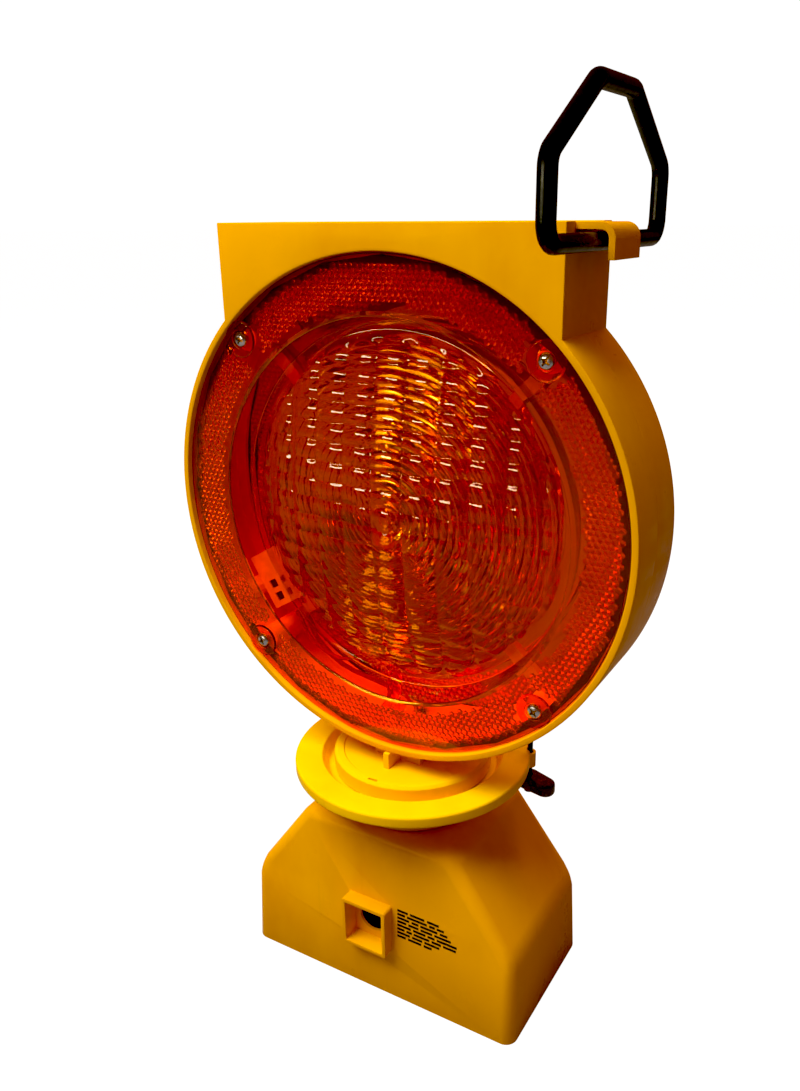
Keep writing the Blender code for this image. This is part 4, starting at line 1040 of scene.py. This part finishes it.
# ---- Studio -----------------------------------------------------------------
def seen_as(tree, shown, otherwise):
    """Shows one shader to the camera and another to every other ray."""
    rays = tree.nodes.new("ShaderNodeLightPath")
    both = tree.nodes.new("ShaderNodeMixShader")
    tree.links.new(rays.outputs["Is Camera Ray"], both.inputs[0])
    tree.links.new(otherwise, both.inputs[1])
    tree.links.new(shown, both.inputs[2])
    return both.outputs[0]


def backdrop():
    world = bpy.data.worlds.new("studio")
    bpy.context.scene.world = world
    world.use_nodes = True
    tree = world.node_tree
    fill = tree.nodes["Background"]
    fill.inputs["Color"].default_value = WORLD_TINT
    fill.inputs["Strength"].default_value = WORLD_FILL
    paper = tree.nodes.new("ShaderNodeBackground")
    paper.inputs["Color"].default_value = (1.0, 1.0, 1.0, 1.0)
    paper.inputs["Strength"].default_value = BACKDROP
    out = tree.nodes["World Output"].inputs["Surface"]
    tree.links.new(seen_as(tree, paper.outputs[0], fill.outputs[0]), out)


def floor():
    """Even white to the camera, and grey to the light that bounces off it."""
    look = Look("studio_floor")
    patch = look.noise(3.0, 3.0)
    grey = look.ramp(patch, (0.3, (0.20, 0.20, 0.20)), (0.7, (0.23, 0.23, 0.23)))
    look.link(grey, look.shader.inputs["Base Color"])
    look.set(Roughness=0.8, Specular_IOR_Level=0.1)
    lit = look.node("ShaderNodeBsdfDiffuse")
    glow = look.node("ShaderNodeEmission")
    glow.inputs["Strength"].default_value = 1.06 * BACKDROP
    paper = look.node("ShaderNodeMixShader")
    paper.inputs[0].default_value = 0.92
    look.link(lit.outputs[0], paper.inputs[1])
    look.link(glow.outputs[0], paper.inputs[2])
    out = look.tree.nodes["Material Output"].inputs["Surface"]
    look.link(seen_as(look.tree, paper.outputs[0], look.shader.outputs[0]), out)
    bm = bmesh.new()
    bmesh.ops.create_circle(bm, cap_ends=True, segments=96, radius=30.0)
    make("studio_floor", bm, look.material)


def softbox(
    name, azimuth, elevation, distance, width, height, power,
    tint=(1, 1, 1), mirrored=False, clear=True,
):
    """An area light. A mirrored one lights no matt surface but shows in reflections, and a
    clear one shows through the lens."""
    target = Vector((0, 0, 0.19))
    a, e = math.radians(azimuth), math.radians(elevation)
    away = Vector((math.sin(a) * math.cos(e), -math.cos(a) * math.cos(e), math.sin(e)))
    lamp = bpy.data.lights.new(name, "AREA")
    lamp.shape = "RECTANGLE"
    lamp.size, lamp.size_y = width, height
    lamp.energy = power
    lamp.color = tint
    obj = bpy.data.objects.new(name, lamp)
    bpy.context.scene.collection.objects.link(obj)
    turn = away.to_track_quat("Z", "Y").to_matrix().to_4x4()
    obj.matrix_world = Matrix.Translation(target + distance * away) @ turn
    obj.visible_diffuse = not mirrored
    obj.visible_glossy = mirrored
    obj.visible_transmission = clear


def camera():
    """Stands where the photographer stood: to the right of the lamp and a little above it."""
    data = bpy.data.cameras.new("camera")
    data.lens = 30.797
    data.sensor_width = 36.0
    data.shift_x = -0.02716
    data.shift_y = 0.01418
    data.clip_start = 0.01
    obj = bpy.data.objects.new("camera", data)
    bpy.context.scene.collection.objects.link(obj)
    yaw, pitch, roll = math.radians(30.206), math.radians(-20.270), math.radians(-0.481)
    ahead = Vector((-math.sin(yaw) * math.cos(pitch), math.cos(yaw) * math.cos(pitch), math.sin(pitch)))
    right = Vector((math.cos(yaw), math.sin(yaw), 0))
    up = right.cross(ahead)
    across = right * math.cos(roll) + up * math.sin(roll)
    upward = up * math.cos(roll) - right * math.sin(roll)
    turn = Matrix((across, upward, -ahead)).transposed().to_4x4()
    obj.matrix_world = Matrix.Translation((0.17557, -0.28656, 0.30437)) @ turn
    bpy.context.scene.camera = obj


def studio():
    backdrop()
    floor()
    softbox("window_light", -27, 9, 1.3, 0.60, 0.075, 2.9, (1.0, 0.90, 0.66), mirrored=True)
    softbox("key_light", -35, 56, 1.5, 1.0, 0.8, 28.0)
    softbox("top_light", -10, 82, 1.4, 0.6, 0.6, 9.0)
    softbox("back_light", 195, 32, 1.5, 1.1, 0.9, 18.0, (1.0, 0.62, 0.45), clear=False)
    camera()
    view = bpy.context.scene.view_settings
    view.view_transform = "Standard"
    view.use_curve_mapping = True
    view.curve_mapping.black_level = BLACK_LEVEL
    view.curve_mapping.update()


housing()
print_bars()
collar()
neck()
lever()
lamp_housing()
cover()
lenses()
screws()
handle()
switch_socket_painted_shade()
dress_nodes()
studio()
